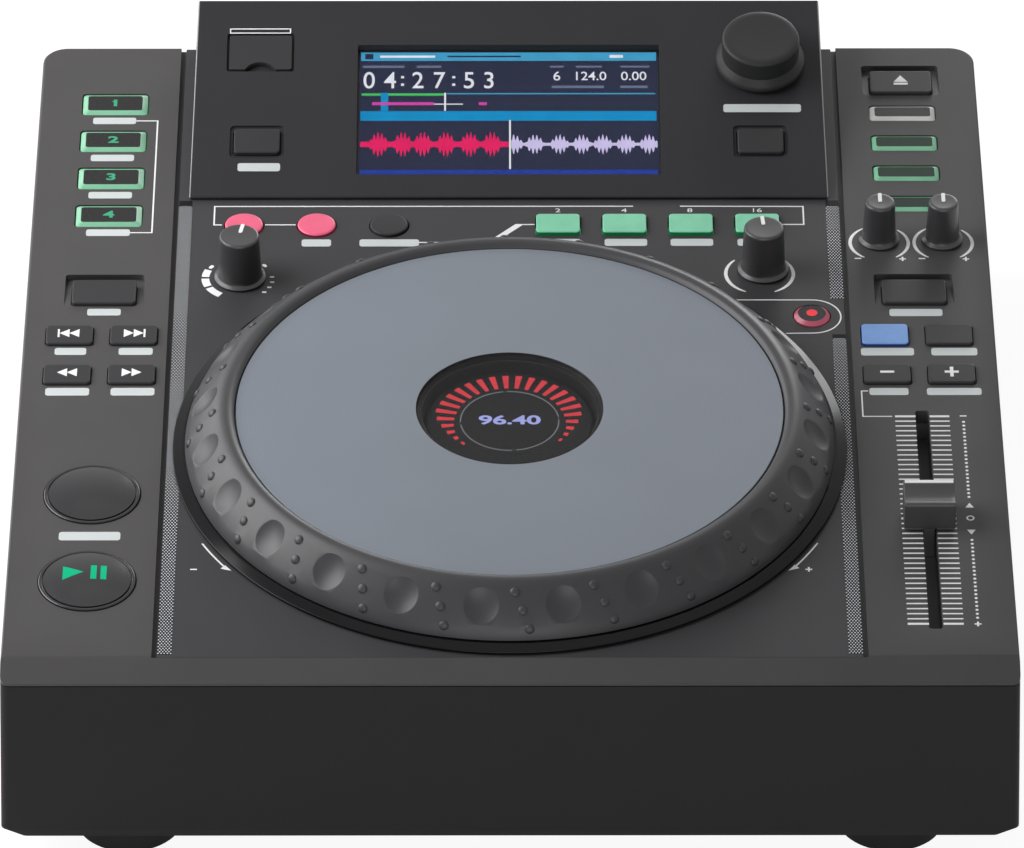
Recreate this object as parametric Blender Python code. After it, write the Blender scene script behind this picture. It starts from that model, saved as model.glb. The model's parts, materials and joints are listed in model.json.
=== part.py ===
"""Tabletop disc jockey player: a case with a sloping deck, a large jog wheel and a display hood.

Lengths are in metres, +Z is up, the front of the player faces -Y. Most pieces are drawn in the deck's
frame: x across, y from the deck's front line to the rear, z square to the deck's side panels.
"""
import math

import bmesh
import bpy
from mathutils import Matrix, Vector

MM = 0.001
GAP = 0.3 * MM                      # air between neighbouring pieces
OVERRUN = 2.0 * MM                  # how far a cutter runs past what it cuts
SINK = 0.2 * MM                     # how deep two shapes reach into each other before they are joined

# Jog wheel, from its axis and from the side panels' surface
JOG_RADIUS = 100.5 * MM             # foot of the dimpled ring
JOG_FLANK = 13.0 * MM               # from the ring's foot in to its crest
JOG_CREST_HEIGHT = 16.0 * MM
JOG_CREST_ROUND = 1.8 * MM
JOG_CREST_DROP_SHARES = (0.25, 0.33)    # fall of the crest's outer and inner points
JOG_FOOT_WALL = 3.5 * MM
JOG_SHOULDER_IN = 1.5 * MM          # the ring's lowest band leans in by this much
JOG_SHOULDER_HEIGHT = 3.5 * MM
PLATTER_IN = 2.9 * MM               # from the ring's crest in to the platter
PLATTER_HEIGHT = 14.5 * MM
PLATTER_THICKNESS = 2.8 * MM
DIMPLE_COUNT = 24
DIMPLE_RADIUS = 6.2 * MM
DIMPLE_DEPTH = 2.0 * MM
DIMPLE_MIDDLE_SHARE = 0.41          # place of a dimple's centre between the ring's foot and crest
DIMPLE_BOWL_SHARES = ((0.0, -1.0), (0.5, -0.72), (1.0, 0.0), (1.1, 1.0), (0.0, 1.0))
HUB_RADIUS = 28.5 * MM              # clear window in the platter's centre
HUB_REST = 1.5 * MM                 # ledge that the window lies on
HUB_CUP_WALL = 2.0 * MM
HUB_WINDOW_THICKNESS = 1.5 * MM
DISPLAY_DEPTH = 5.0 * MM            # centre display, below the platter's face
DISPLAY_THICKNESS = 2.2 * MM
DISPLAY_EDGE_GAP = 1.5 * MM
DISPLAY_FLOOR_GAP = 0.7 * MM
POST_RADIUS = 14.0 * MM
POST_BORE = 6.0 * MM
SLEEVE_WALL = 3.2 * MM
BEARING_BOSS_WALL = 4.5 * MM
BEARING_FLANGE = 6.0 * MM
BEARING_PLATE = 2.0 * MM
SURROUND_LIP = 3.9 * MM             # fixed trim ring, outside the dimpled ring
SURROUND_EDGE = 0.8 * MM
SURROUND_RISE = 1.9 * MM
SURROUND_BAND = 10.9 * MM
SURROUND_SLOPE = 3.2 * MM
WELL_RADIUS_IN = 1.5 * MM           # the well in the deck is this much smaller than the trim ring's bore

# Centre plate and side panels
PLATE_DROP = 0.6 * MM               # the plate lies this much lower than the side panels
PLATE_THICKNESS = 0.9 * MM
PLATE_MARGIN = 1.7 * MM             # trim ring to the centre plate's side
GROOVE_WIDTH = 1.6 * MM
PANEL_WIDTH = 45.3 * MM
TOP_WALL = 4.8 * MM
TOP_EDGE_CUT = 1.0 * MM
DECK_MARGIN = 0.4 * MM              # deck's front line to the trim ring
PLATE_FRONT = 0.6 * MM              # the plate runs this far past the deck's front line
CHAMFER_LENGTH = 9.0 * MM
CHAMFER_DROP = 4.0 * MM
REAR_CORNER = 8.0 * MM
FRONT_CORNER = 2.5 * MM

# Display hood, its face measured from its front edge
LOOP_ROW_AWAY = 13.9 * MM           # trim ring to the row of loop keys
HOOD_AWAY = 14.3 * MM               # loop keys to the hood's front edge
HOOD_LENGTH = 89.8 * MM
HOOD_TILT = math.radians(11.0)
HOOD_LIP = 0.9 * MM
HOOD_WALL = 2.6 * MM
HOOD_SIDE_DRAFT = 1.15 * MM
HOOD_SIDE_MARGIN = 3.2 * MM         # hood's side to the centre plate's edge
HOOD_EDGE = 1.2 * MM
HOOD_OVERHANG = 1.8 * MM            # hood's top edge past the deck's rear edge
HOOD_OPENING_MARGIN = 11.0 * MM
HOOD_OPENING_FRONT = 4.6 * MM
HOOD_OPENING_REAR = 7.7 * MM

# Case
DECK_SLOPE = math.radians(3.5)
FRONT_HEIGHT = 56.3 * MM
CASE_WALL = 2.5 * MM
CASE_FLARE = 1.3 * MM               # each side stands out by this much at its foot
FOOT_CUT_WIDTH = 5.3 * MM
FOOT_CUT_HEIGHT = 2.6 * MM
FOOT_CUT_DEPTH = 0.4 * MM           # how far the same cut goes in at the front and the rear
FOOT_HEIGHT = 7.5 * MM
FOOT_RADIUS = 17.0 * MM
FOOT_TIP_RADIUS = 16.0 * MM
FOOT_IN_FROM_SIDE = 37.0 * MM
FOOT_IN_FROM_END = 18.0 * MM

# Keys
KEY_TRAVEL = 1.0 * MM
KEY_FLANGE = 1.0 * MM
KEY_FLANGE_THICKNESS = 1.5 * MM
KEY_EDGE = 0.5 * MM
KEY_CORNER = 1.2 * MM
COLUMN_SHARE = 0.456                # a column's centre across its side panel
PAIR_HALF_PITCH = 10.1 * MM
SCOOP_DEPTH = 2.0 * MM
SCOOP_SIDE = 2.4 * MM
SCOOP_REAR = 4.5 * MM
TRAY_DEPTH = 0.8 * MM
TRAY_SIDE = 1.3 * MM
TRAY_END = 1.8 * MM

# Rows along the deck, as shares of the deck's length
PLAY_ROW_SHARE = 0.112
CUE_ROW_SHARE = 0.246
SEARCH_ROW_SHARE = 0.4365
TRACK_ROW_SHARE = 0.5008
MODE_ROW_SHARE = 0.571
LEVEL_KNOB_ROW_SHARE = 0.662
HOT_CUE_FIRST_ROW_SHARE = 0.8977
HOT_CUE_PITCH_SHARE = 0.0647
SOURCE_FIRST_ROW_SHARE = 0.829
SOURCE_PITCH_SHARE = 0.0526
EJECT_ROW_SHARE = 0.933

# Key caps: width across, depth along the deck, rise over the panel
HOT_CUE_SIZE = (21.3 * MM, 11.7 * MM, 0.6 * MM)
MODE_KEY_SIZE = (20.3 * MM, 12.4 * MM, 1.2 * MM)
TRACK_KEY_SIZE = (14.8 * MM, 9.8 * MM, 1.0 * MM)
SOURCE_KEY_SIZE = (21.2 * MM, 8.3 * MM, 0.6 * MM)
LOCK_KEY_SIZE = (14.7 * MM, 10.7 * MM, 1.0 * MM)
AUTO_LOOP_SIZE = (14.1 * MM, 10.3 * MM, 1.2 * MM)
HOOD_KEY_SIZE = (14.9 * MM, 10.8 * MM, 0.5 * MM)
LOOP_KEY_RADIUS = 6.1 * MM
LOOP_KEY_RISE = 0.9 * MM
SLIP_KEY_RADIUS = 5.7 * MM
SLIP_KEY_RISE = 1.1 * MM
SLIP_AWAY = 13.5 * MM               # trim ring to the slip key's centre
SLIP_BEARING = math.radians(35.8)
PLAY_RADIUS = 14.8 * MM
PLAY_RISE = 0.5 * MM
PLAY_RIM = 1.3 * MM
PLAY_CROWN = 1.6 * MM
PLAY_CROWN_SHARES = ((0.45, 0.7), (0.8, 1.0))
LOOP_KEY_IN = 21.2 * MM             # centre plate's edge to the first loop key
LOOP_KEY_PITCH = 23.25 * MM
AUTO_LOOP_IN = 26.5 * MM            # centre plate's edge to the last auto loop key
AUTO_LOOP_PITCH = 21.3 * MM
AUTO_LOOP_COUNT = 4
HOOD_KEY_ROW = 24.9 * MM
HOOD_KEY_IN = 21.4 * MM             # hood's side to a hood key's centre

# Knobs, each on a potentiometer under the panel
KNOB_RADIUS = 6.9 * MM
KNOB_SKIRT = 1.25 * MM
KNOB_HEIGHT = 16.6 * MM
SMALL_KNOB_RADIUS = 5.3 * MM
SMALL_KNOB_HEIGHT = 15.0 * MM
KNOB_SKIRT_HEIGHT = 1.0 * MM
KNOB_TAPER = 0.3 * MM
KNOB_TOP_EDGE = 0.7 * MM
KNOB_AWAY = 19.6 * MM               # trim ring to a knob's axis
WEIGHT_KNOB_BEARING = math.radians(133.6)
FILTER_KNOB_BEARING = math.radians(49.3)
SHAFT_RADIUS = 3.0 * MM
BUSH_WALL = 0.5 * MM
SHAFT_ENTRY = 9.0 * MM
POT_RADIUS = 6.5 * MM
BROWSE_RADIUS = 12.6 * MM
BROWSE_SKIRT = 1.9 * MM
BROWSE_HEIGHT = 12.3 * MM
BROWSE_SKIRT_HEIGHT = 4.0 * MM
BROWSE_TOP_EDGE = 2.1 * MM
BROWSE_ROW = 60.2 * MM
BROWSE_IN = 20.9 * MM
BROWSE_TRAVEL = 0.8 * MM

# Pitch fader
FADER_TRAVEL = 100.0 * MM
FADER_SLOT_WIDTH = 4.3 * MM
FADER_FRONT_MARGIN = 12.5 * MM      # deck's front line to the slot
FADER_STEM_LENGTH = 9.6 * MM
FADER_END_PLAY = 0.3 * MM
FADER_STEM_SIDE = 0.45 * MM
FADER_CAP_WIDTH = 15.7 * MM
FADER_CAP_LENGTH = 13.8 * MM
FADER_CAP_HEIGHT = 10.0 * MM
FADER_CAP_SADDLE = 1.8 * MM
FADER_CAP_LIFT = 0.5 * MM
FADER_BODY_WIDTH = 9.2 * MM
FADER_BODY_END = 8.0 * MM
FADER_BODY_FLOOR = 1.0 * MM

# Screen
SCREEN_WIDTH = 97.8 * MM
SCREEN_HEIGHT = 58.1 * MM
SCREEN_ROW = 39.6 * MM
WINDOW_SUNK = 0.2 * MM
MODULE_BORDER_X = 4.0 * MM
MODULE_BORDER_Y = 3.8 * MM
MODULE_THICKNESS = 5.0 * MM
HOOD_BOARD_MARGIN = 1.0 * MM
HOOD_BOARD_FRONT = 15.0 * MM
HOOD_BOARD_REAR = 72.0 * MM

# Flap over the memory stick socket
FLAP_WIDTH = 20.4 * MM
FLAP_DEPTH = 15.6 * MM
FLAP_THICKNESS = 1.4 * MM
FLAP_ROW = 65.5 * MM
FLAP_IN = 21.9 * MM
FLAP_PIN_IN = 0.3 * MM
FLAP_SIDE = 0.75 * MM
FLAP_NOTCH_RADIUS = 5.4 * MM
FLAP_NOTCH_REACH = 3.2 * MM
FLAP_SEAT_DEPTH = 1.7 * MM
STICK_WIDTH = 12.5 * MM
STICK_THICKNESS = 5.4 * MM
STICK_DEPTH = 11.0 * MM
SOCKET_WALL = 1.2 * MM
SOCKET_MOUTH_CUT = 0.3 * MM

# Control board under the deck
BOARD_DEPTH = 8.0 * MM              # deck's underside to the board's upper face
BOARD_THICKNESS = 1.6 * MM
BOARD_EDGE = 4.0 * MM
BOARD_FRONT = 3.0 * MM
BOARD_REAR = 3.0 * MM               # board's end to the hood's front edge
BOARD_KEY_MARGIN = 1.5 * MM         # slip key's switch to the board's inner edge
BOARD_BRIDGE = 46.0 * MM
SWITCH_SIZE = 6.0 * MM
BOSS_RADIUS = 2.5 * MM
BOSS_IN_FROM_SIDE = 7.0 * MM
BOSS_ROW_SHARES = (0.03, 0.37, 0.624)

# Rear connectors, a guess: the photograph shows none of them
REAR_PROUD = 1.0 * MM
REAR_ROW_Z = 40.0 * MM
INLET_SIZE = (28.0 * MM, 20.0 * MM, 20.0 * MM)
INLET_CAVITY = (24.0 * MM, 16.0 * MM, 15.0 * MM)
INLET_X = -112.0 * MM
PIN_SIZE = (2.0 * MM, 4.0 * MM, 9.5 * MM)
PIN_PITCH = 7.0 * MM
PIN_RAISE = 2.0 * MM
SWITCH_BLOCK_SIZE = (24.0 * MM, 18.0 * MM, 16.0 * MM)
SWITCH_CAVITY = (19.0 * MM, 13.4 * MM, 11.0 * MM)
SWITCH_X = -76.0 * MM
ROCKER_PIVOT_IN = 2.0 * MM
ROCKER_TILT = math.radians(8.0)
ROCKER_HALF_HEIGHT = 6.0 * MM
ROCKER_EDGE_OUT = 2.6 * MM
ROCKER_DIP_OUT = 1.8 * MM
ROCKER_BACK = 2.5 * MM
ROCKER_BACK_HALF = 3.0 * MM
NETWORK_SIZE = (16.0 * MM, 14.0 * MM, 18.0 * MM)
NETWORK_CAVITY = (12.0 * MM, 8.5 * MM, 13.0 * MM)
NETWORK_X = 22.0 * MM
PHONO_FIRST_X = 60.0 * MM
PHONO_PITCH = 20.0 * MM
PHONO_COUNT = 3
PHONO_BASE_RADIUS = 6.0 * MM
PHONO_RADIUS = 4.2 * MM
PHONO_LENGTH = 8.0 * MM
PHONO_BORE = 1.7 * MM
PHONO_INSIDE = 7.0 * MM
BRACKET_HEIGHT = 8.0 * MM
BRACKET_THICKNESS = 1.6 * MM

# Worked out from the sizes above
JOG_CREST_RADIUS = JOG_RADIUS - JOG_FLANK
PLATTER_RADIUS = JOG_CREST_RADIUS - PLATTER_IN
SURROUND_RADIUS = JOG_RADIUS + SURROUND_LIP
SURROUND_INNER = SURROUND_RADIUS - SURROUND_BAND
WELL_RADIUS = SURROUND_INNER - WELL_RADIUS_IN
PLATE_HALF = SURROUND_RADIUS + PLATE_MARGIN
PANEL_INNER = PLATE_HALF + GROOVE_WIDTH
CASE_HALF = PANEL_INNER + PANEL_WIDTH
COLUMN_X = PANEL_INNER + COLUMN_SHARE * PANEL_WIDTH
JOG_ROW = SURROUND_RADIUS + DECK_MARGIN
LOOP_ROW = JOG_ROW + SURROUND_RADIUS + LOOP_ROW_AWAY
HOOD_ROW = LOOP_ROW + HOOD_AWAY
HOOD_TOP_ROW = HOOD_ROW + HOOD_LENGTH * math.cos(HOOD_TILT)
DECK_LENGTH = HOOD_TOP_ROW - HOOD_OVERHANG
HOOD_FOOT = GAP - PLATE_DROP
HOOD_FACE_Z = HOOD_FOOT + HOOD_LIP
HOOD_TOP_Z = HOOD_FACE_Z + HOOD_LENGTH * math.sin(HOOD_TILT)
HOOD_HALF = PLATE_HALF - HOOD_SIDE_MARGIN
HOOD_KEY_X = HOOD_HALF - HOOD_KEY_IN
BROWSE_X = HOOD_HALF - BROWSE_IN
FLAP_X = FLAP_IN - HOOD_HALF
LOOP_KEY_FIRST_X = LOOP_KEY_IN - PLATE_HALF
AUTO_LOOP_LAST_X = PLATE_HALF - AUTO_LOOP_IN
FADER_SLOT_LENGTH = FADER_TRAVEL + FADER_STEM_LENGTH + 2 * FADER_END_PLAY
FADER_ROW = FADER_FRONT_MARGIN + FADER_SLOT_LENGTH / 2
HOOD_BOARD_TOP = -HOOD_WALL - GAP - MODULE_THICKNESS - GAP
RECESS_DEPTH = PLATE_DROP + PLATE_THICKNESS + GAP
PARTING = TOP_WALL + GAP            # depth of the case's rim below the deck
BOARD_TOP = -TOP_WALL - BOARD_DEPTH
SURROUND_FOOT = GAP - PLATE_DROP
SURROUND_TOP = SURROUND_FOOT + SURROUND_RISE
RING_FOOT = SURROUND_TOP + GAP
PLATTER_FOOT = PLATTER_HEIGHT - PLATTER_THICKNESS
HUB_LEDGE = PLATTER_HEIGHT - HUB_WINDOW_THICKNESS - GAP
CUP_RADIUS = HUB_RADIUS - HUB_REST
DISPLAY_TOP = PLATTER_HEIGHT - DISPLAY_DEPTH
DISPLAY_FOOT = DISPLAY_TOP - DISPLAY_THICKNESS
POST_TOP = DISPLAY_FOOT - GAP
BOSS_TOP = SURROUND_TOP
DECK_COS = math.cos(DECK_SLOPE)
DECK_SIN = math.sin(DECK_SLOPE)
CASE_TOP_FRONT_Z = FOOT_HEIGHT + FRONT_HEIGHT
DECK_FRONT_Z = CASE_TOP_FRONT_Z + CHAMFER_LENGTH * DECK_SIN + CHAMFER_DROP * DECK_COS
FRONT_TO_DECK = CHAMFER_LENGTH * DECK_COS - CHAMFER_DROP * DECK_SIN
FRONT_TO_REAR = FRONT_TO_DECK + DECK_LENGTH * DECK_COS + PARTING * DECK_SIN
OVERALL_DEPTH = FRONT_TO_REAR + REAR_PROUD + PHONO_LENGTH
FRONT_Y = -OVERALL_DEPTH / 2
REAR_Y = FRONT_Y + FRONT_TO_REAR
DECK_FRONT_Y = FRONT_Y + FRONT_TO_DECK

SEGMENTS_WIDE = 60                  # sides of the jog wheel's rings
SEGMENTS_HUB = 36
SEGMENTS_KNOB = 20
SEGMENTS_SMALL = 12
SEGMENTS_DIMPLE = 10
CORNER_STEPS_KEY = 1
CORNER_STEPS_CASE = 4
FLAT_SHADE_ANGLE = math.radians(35.0)

CASE_PAINT = ("case_plastic", (0.060, 0.058, 0.058), 0.45, 0.0)
DECK_PAINT = ("deck_plastic", (0.105, 0.102, 0.100), 0.42, 0.0)
PLATE_PAINT = ("plate_finish", (0.082, 0.080, 0.085), 0.38, 0.2)
HOOD_PAINT = ("hood_plastic", (0.055, 0.054, 0.060), 0.40, 0.0)
GLASS_PAINT = ("clear_window", (0.02, 0.02, 0.025), 0.08, 0.0)
SCREEN_PAINT = ("screen_module", (0.03, 0.05, 0.12), 0.2, 0.0)
METAL_PAINT = ("bright_metal", (0.62, 0.62, 0.63), 0.3, 1.0)
BOARD_PAINT = ("circuit_board", (0.02, 0.12, 0.05), 0.5, 0.0)
GLOSS_PAINT = ("gloss_black", (0.015, 0.015, 0.017), 0.12, 0.0)
RUBBER_PAINT = ("ring_rubber", (0.060, 0.062, 0.066), 0.55, 0.0)
PLATTER_PAINT = ("platter_satin", (0.23, 0.26, 0.30), 0.35, 0.7)
KEY_PAINT = ("key_plastic", (0.045, 0.045, 0.048), 0.4, 0.0)
GREEN_PAINT = ("green_lit_key", (0.20, 0.62, 0.38), 0.4, 0.0)
PINK_PAINT = ("pink_lit_key", (0.86, 0.12, 0.24), 0.4, 0.0)
BLUE_PAINT = ("blue_lit_key", (0.10, 0.24, 0.60), 0.4, 0.0)
KNOB_PAINT = ("knob_plastic", (0.035, 0.035, 0.037), 0.45, 0.0)
FOOT_PAINT = ("foot_rubber", (0.02, 0.02, 0.02), 0.8, 0.0)


def clear_scene():
    """Removes every object that the scene starts with."""
    for thing in list(bpy.data.objects):
        bpy.data.objects.remove(thing)


def material(paint):
    """Returns the material of this paint, made once."""
    name, colour, roughness, metallic = paint
    found = bpy.data.materials.get(name)
    if found:
        return found
    made = bpy.data.materials.new(name)
    made.use_nodes = True
    shader = made.node_tree.nodes["Principled BSDF"]
    shader.inputs["Base Color"].default_value = (*colour, 1.0)
    shader.inputs["Roughness"].default_value = roughness
    shader.inputs["Metallic"].default_value = metallic
    return made


def frame(name, location, turn=0.0, parent=None):
    """Adds an empty that carries other pieces, tipped about X by turn."""
    empty = bpy.data.objects.new(name, None)
    bpy.context.scene.collection.objects.link(empty)
    empty.location = location
    empty.rotation_euler = (turn, 0.0, 0.0)
    empty.parent = parent
    return empty


def piece(name, shape, paint, parent=None, location=(0.0, 0.0, 0.0), turn=0.0):
    """Makes the named object of a shape and hangs it on its frame."""
    bmesh.ops.recalc_face_normals(shape, faces=shape.faces)
    mesh = bpy.data.meshes.new(name)
    shape.to_mesh(mesh)
    shape.free()
    mesh.shade_smooth()
    mesh.set_sharp_from_angle(angle=FLAT_SHADE_ANGLE)
    mesh.materials.append(material(paint))
    made = bpy.data.objects.new(name, mesh)
    bpy.context.scene.collection.objects.link(made)
    made.location = location
    made.rotation_euler = (turn, 0.0, 0.0)
    made.parent = parent
    return made


def lofted(sections):
    """Closes a skin over outlines that have equal counts of points, each outline a list of vectors."""
    shape = bmesh.new()
    rings = [[shape.verts.new(point) for point in section] for section in sections]
    for lower, upper in zip(rings, rings[1:]):
        for i in range(len(lower)):
            j = (i + 1) % len(lower)
            shape.faces.new((lower[i], lower[j], upper[j], upper[i]))
    shape.faces.new(list(reversed(rings[0])))
    shape.faces.new(rings[-1])
    return shape


def at_height(outline, height):
    """Lifts a flat outline to a height."""
    return [Vector((x, y, height)) for x, y in outline]


def extruded(outline, low, high):
    return lofted([at_height(outline, low), at_height(outline, high)])


def prism_across(section, x_low, x_high):
    """Runs a section, a list of (y, z), across from x_low to x_high."""
    return lofted([[Vector((x, y, z)) for y, z in section] for x in (x_low, x_high)])


def box(x_low, x_high, y_low, y_high, z_low, z_high):
    outline = [(x_low, y_low), (x_high, y_low), (x_high, y_high), (x_low, y_high)]
    return extruded(outline, z_low, z_high)


def arc(centre, radius, start, steps):
    """Returns the points of a quarter circle that starts at an angle and turns left."""
    points = []
    for i in range(steps + 1):
        angle = start + (math.pi / 2) * i / steps
        points.append((centre[0] + radius * math.cos(angle), centre[1] + radius * math.sin(angle)))
    return points


def rounded_outline(x_low, x_high, y_low, y_high, front, rear, steps):
    """Returns a rectangle with round corners, its front pair and its rear pair of their own radius."""
    points = arc((x_low + front, y_low + front), front, math.pi, steps)
    points += arc((x_high - front, y_low + front), front, 1.5 * math.pi, steps)
    points += arc((x_high - rear, y_high - rear), rear, 0.0, steps)
    points += arc((x_low + rear, y_high - rear), rear, math.pi / 2, steps)
    return points


def centred_outline(x, y, width, depth, corner, steps):
    return rounded_outline(x - width / 2, x + width / 2, y - depth / 2, y + depth / 2, corner, corner, steps)


def circle(x, y, radius, segments):
    points = []
    for i in range(segments):
        angle = 2 * math.pi * i / segments
        points.append((x + radius * math.cos(angle), y + radius * math.sin(angle)))
    return points


def turned(profile, segments, x=0.0, y=0.0):
    """Turns a closed profile, a list of (radius, height), about an upright axis."""
    shape = bmesh.new()
    columns = []
    for i in range(segments):
        angle = 2 * math.pi * i / segments
        column = []
        for j, (radius, height) in enumerate(profile):
            if radius == 0.0 and i > 0:
                column.append(columns[0][j])
            else:
                place = (x + radius * math.cos(angle), y + radius * math.sin(angle), height)
                column.append(shape.verts.new(place))
        columns.append(column)
    for i in range(segments):
        near, far = columns[i], columns[(i + 1) % segments]
        for j in range(len(profile)):
            k = (j + 1) % len(profile)
            corners = list(dict.fromkeys((near[j], far[j], far[k], near[k])))
            if len(corners) > 2:
                shape.faces.new(corners)
    bmesh.ops.recalc_face_normals(shape, faces=shape.faces)
    return shape


def gathered(shapes):
    """Puts several closed shapes into one, as separate bodies."""
    whole = bmesh.new()
    for shape in shapes:
        bmesh.ops.recalc_face_normals(shape, faces=shape.faces)
        mesh = bpy.data.meshes.new("gathered")
        shape.to_mesh(mesh)
        shape.free()
        whole.from_mesh(mesh)
        bpy.data.meshes.remove(mesh)
    return whole


def moved(shape, matrix):
    bmesh.ops.transform(shape, matrix=matrix, verts=shape.verts)
    return shape


def combined(target, tool, operation):
    """Runs a Boolean of two shapes that are drawn in one frame."""
    workers = []
    for shape in (target, tool):
        bmesh.ops.recalc_face_normals(shape, faces=shape.faces)
        mesh = bpy.data.meshes.new("worker")
        shape.to_mesh(mesh)
        shape.free()
        worker = bpy.data.objects.new("worker", mesh)
        bpy.context.scene.collection.objects.link(worker)
        workers.append(worker)
    modifier = workers[0].modifiers.new("boolean", "BOOLEAN")
    modifier.operation = operation
    modifier.object = workers[1]
    result = bmesh.new()
    result.from_object(workers[0], bpy.context.evaluated_depsgraph_get())
    for worker in workers:
        mesh = worker.data
        bpy.data.objects.remove(worker)
        bpy.data.meshes.remove(mesh)
    return result


def cut(target, tool):
    return combined(target, tool, "DIFFERENCE")


def joined(target, tool):
    return combined(target, tool, "UNION")


class Key:
    """A push key: its place, the size of its cap and how far it stands over its panel."""

    def __init__(self, name, x, y, width, depth, rise, paint, level=0.0, is_round=False):
        self.name, self.x, self.y = name, x, y
        self.width, self.depth, self.rise = width, depth, rise
        self.paint, self.level, self.is_round = paint, level, is_round

    def outline(self, offset, x=0.0, y=0.0):
        if self.is_round:
            return circle(x, y, self.width / 2 + offset, SEGMENTS_KNOB)
        width, depth = self.width + 2 * offset, self.depth + 2 * offset
        return centred_outline(x, y, width, depth, KEY_CORNER + offset, CORNER_STEPS_KEY)

    def hole(self, low, high):
        return extruded(self.outline(GAP, self.x, self.y), low, high)

    def shape(self, underside, crown=()):
        """Draws the cap about the key's own centre; crown lists further (inset, rise) steps."""
        flange_top = -underside - GAP - self.level
        steps = [(KEY_FLANGE, flange_top - KEY_FLANGE_THICKNESS), (KEY_FLANGE, flange_top),
                 (0.0, flange_top), (0.0, self.rise - KEY_EDGE), (-KEY_EDGE, self.rise)]
        steps += [(-inset, self.rise + rise) for inset, rise in crown]
        return lofted([at_height(self.outline(offset), height) for offset, height in steps])


def sized(name, x, row_share, size, paint):
    """Returns a rectangular key at a row along the deck."""
    width, depth, rise = size
    return Key(name, x, row_share * DECK_LENGTH, width, depth, rise, paint)


def left_keys():
    keys = []
    for i in range(4):
        share = HOT_CUE_FIRST_ROW_SHARE - i * HOT_CUE_PITCH_SHARE
        keys.append(sized(f"hot_cue_key_{i + 1}", -COLUMN_X, share, HOT_CUE_SIZE, GREEN_PAINT))
    keys.append(sized("reverse_key", -COLUMN_X, MODE_ROW_SHARE, MODE_KEY_SIZE, KEY_PAINT))
    for row, share in (("track", TRACK_ROW_SHARE), ("search", SEARCH_ROW_SHARE)):
        for end, side in (("back", -1), ("forward", 1)):
            x = -COLUMN_X + side * PAIR_HALF_PITCH
            keys.append(sized(f"{row}_{end}_key", x, share, TRACK_KEY_SIZE, KEY_PAINT))
    return keys


def right_keys():
    keys = [sized("eject_key", COLUMN_X, EJECT_ROW_SHARE, MODE_KEY_SIZE, KEY_PAINT),
            sized("settings_key", COLUMN_X, SOURCE_FIRST_ROW_SHARE + SOURCE_PITCH_SHARE,
                  SOURCE_KEY_SIZE, KEY_PAINT)]
    for i in range(3):
        share = SOURCE_FIRST_ROW_SHARE - i * SOURCE_PITCH_SHARE
        keys.append(sized(f"source_key_{i + 1}", COLUMN_X, share, SOURCE_KEY_SIZE, GREEN_PAINT))
    keys.append(sized("jog_mode_key", COLUMN_X, MODE_ROW_SHARE, MODE_KEY_SIZE, KEY_PAINT))
    low, high = COLUMN_X - PAIR_HALF_PITCH, COLUMN_X + PAIR_HALF_PITCH
    keys.append(sized("key_lock_key", low, TRACK_ROW_SHARE, LOCK_KEY_SIZE, BLUE_PAINT))
    keys.append(sized("tap_key", high, TRACK_ROW_SHARE, LOCK_KEY_SIZE, KEY_PAINT))
    keys.append(sized("bend_minus_key", low, SEARCH_ROW_SHARE, TRACK_KEY_SIZE, KEY_PAINT))
    keys.append(sized("bend_plus_key", high, SEARCH_ROW_SHARE, TRACK_KEY_SIZE, KEY_PAINT))
    return keys


def play_keys():
    rows = (("cue_key", CUE_ROW_SHARE), ("play_key", PLAY_ROW_SHARE))
    return [Key(name, -COLUMN_X, share * DECK_LENGTH, 2 * PLAY_RADIUS, 2 * PLAY_RADIUS, PLAY_RISE,
                GLOSS_PAINT, is_round=True) for name, share in rows]


def plate_keys():
    """Returns the keys that pass through the centre plate, the slip key last."""
    keys = []
    for i, name in enumerate(("loop_in_key", "loop_out_key", "reloop_key")):
        paint = KEY_PAINT if name == "reloop_key" else PINK_PAINT
        keys.append(Key(name, LOOP_KEY_FIRST_X + i * LOOP_KEY_PITCH, LOOP_ROW, 2 * LOOP_KEY_RADIUS,
                        2 * LOOP_KEY_RADIUS, LOOP_KEY_RISE, paint, -PLATE_DROP, True))
    width, depth, rise = AUTO_LOOP_SIZE
    for i in range(AUTO_LOOP_COUNT):
        x = AUTO_LOOP_LAST_X - (AUTO_LOOP_COUNT - 1 - i) * AUTO_LOOP_PITCH
        keys.append(Key(f"auto_loop_key_{2 ** (i + 1)}", x, LOOP_ROW,
                        width, depth, rise, GREEN_PAINT, -PLATE_DROP))
    away = SURROUND_RADIUS + SLIP_AWAY
    keys.append(Key("slip_key", away * math.cos(SLIP_BEARING), JOG_ROW + away * math.sin(SLIP_BEARING),
                    2 * SLIP_KEY_RADIUS, 2 * SLIP_KEY_RADIUS, SLIP_KEY_RISE, PINK_PAINT, -PLATE_DROP, True))
    return keys


def hood_keys():
    width, depth, rise = HOOD_KEY_SIZE
    return [Key("shift_key", -HOOD_KEY_X, HOOD_KEY_ROW, width, depth, rise - TRAY_DEPTH, KEY_PAINT),
            Key("back_key", HOOD_KEY_X, HOOD_KEY_ROW, width, depth, rise - TRAY_DEPTH, KEY_PAINT)]


def knob_places():
    """Returns (name, x, y, panel level, radius, height) of the four deck knobs."""
    places = []
    for name, bearing in (("jog_weight_knob", WEIGHT_KNOB_BEARING), ("filter_knob", FILTER_KNOB_BEARING)):
        away = SURROUND_RADIUS + KNOB_AWAY
        places.append((name, away * math.cos(bearing), JOG_ROW + away * math.sin(bearing), -PLATE_DROP,
                       KNOB_RADIUS, KNOB_HEIGHT))
    for name, side in (("start_time_knob", -1), ("stop_time_knob", 1)):
        places.append((name, COLUMN_X + side * PAIR_HALF_PITCH, LEVEL_KNOB_ROW_SHARE * DECK_LENGTH, 0.0,
                       SMALL_KNOB_RADIUS, SMALL_KNOB_HEIGHT))
    return places


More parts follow.
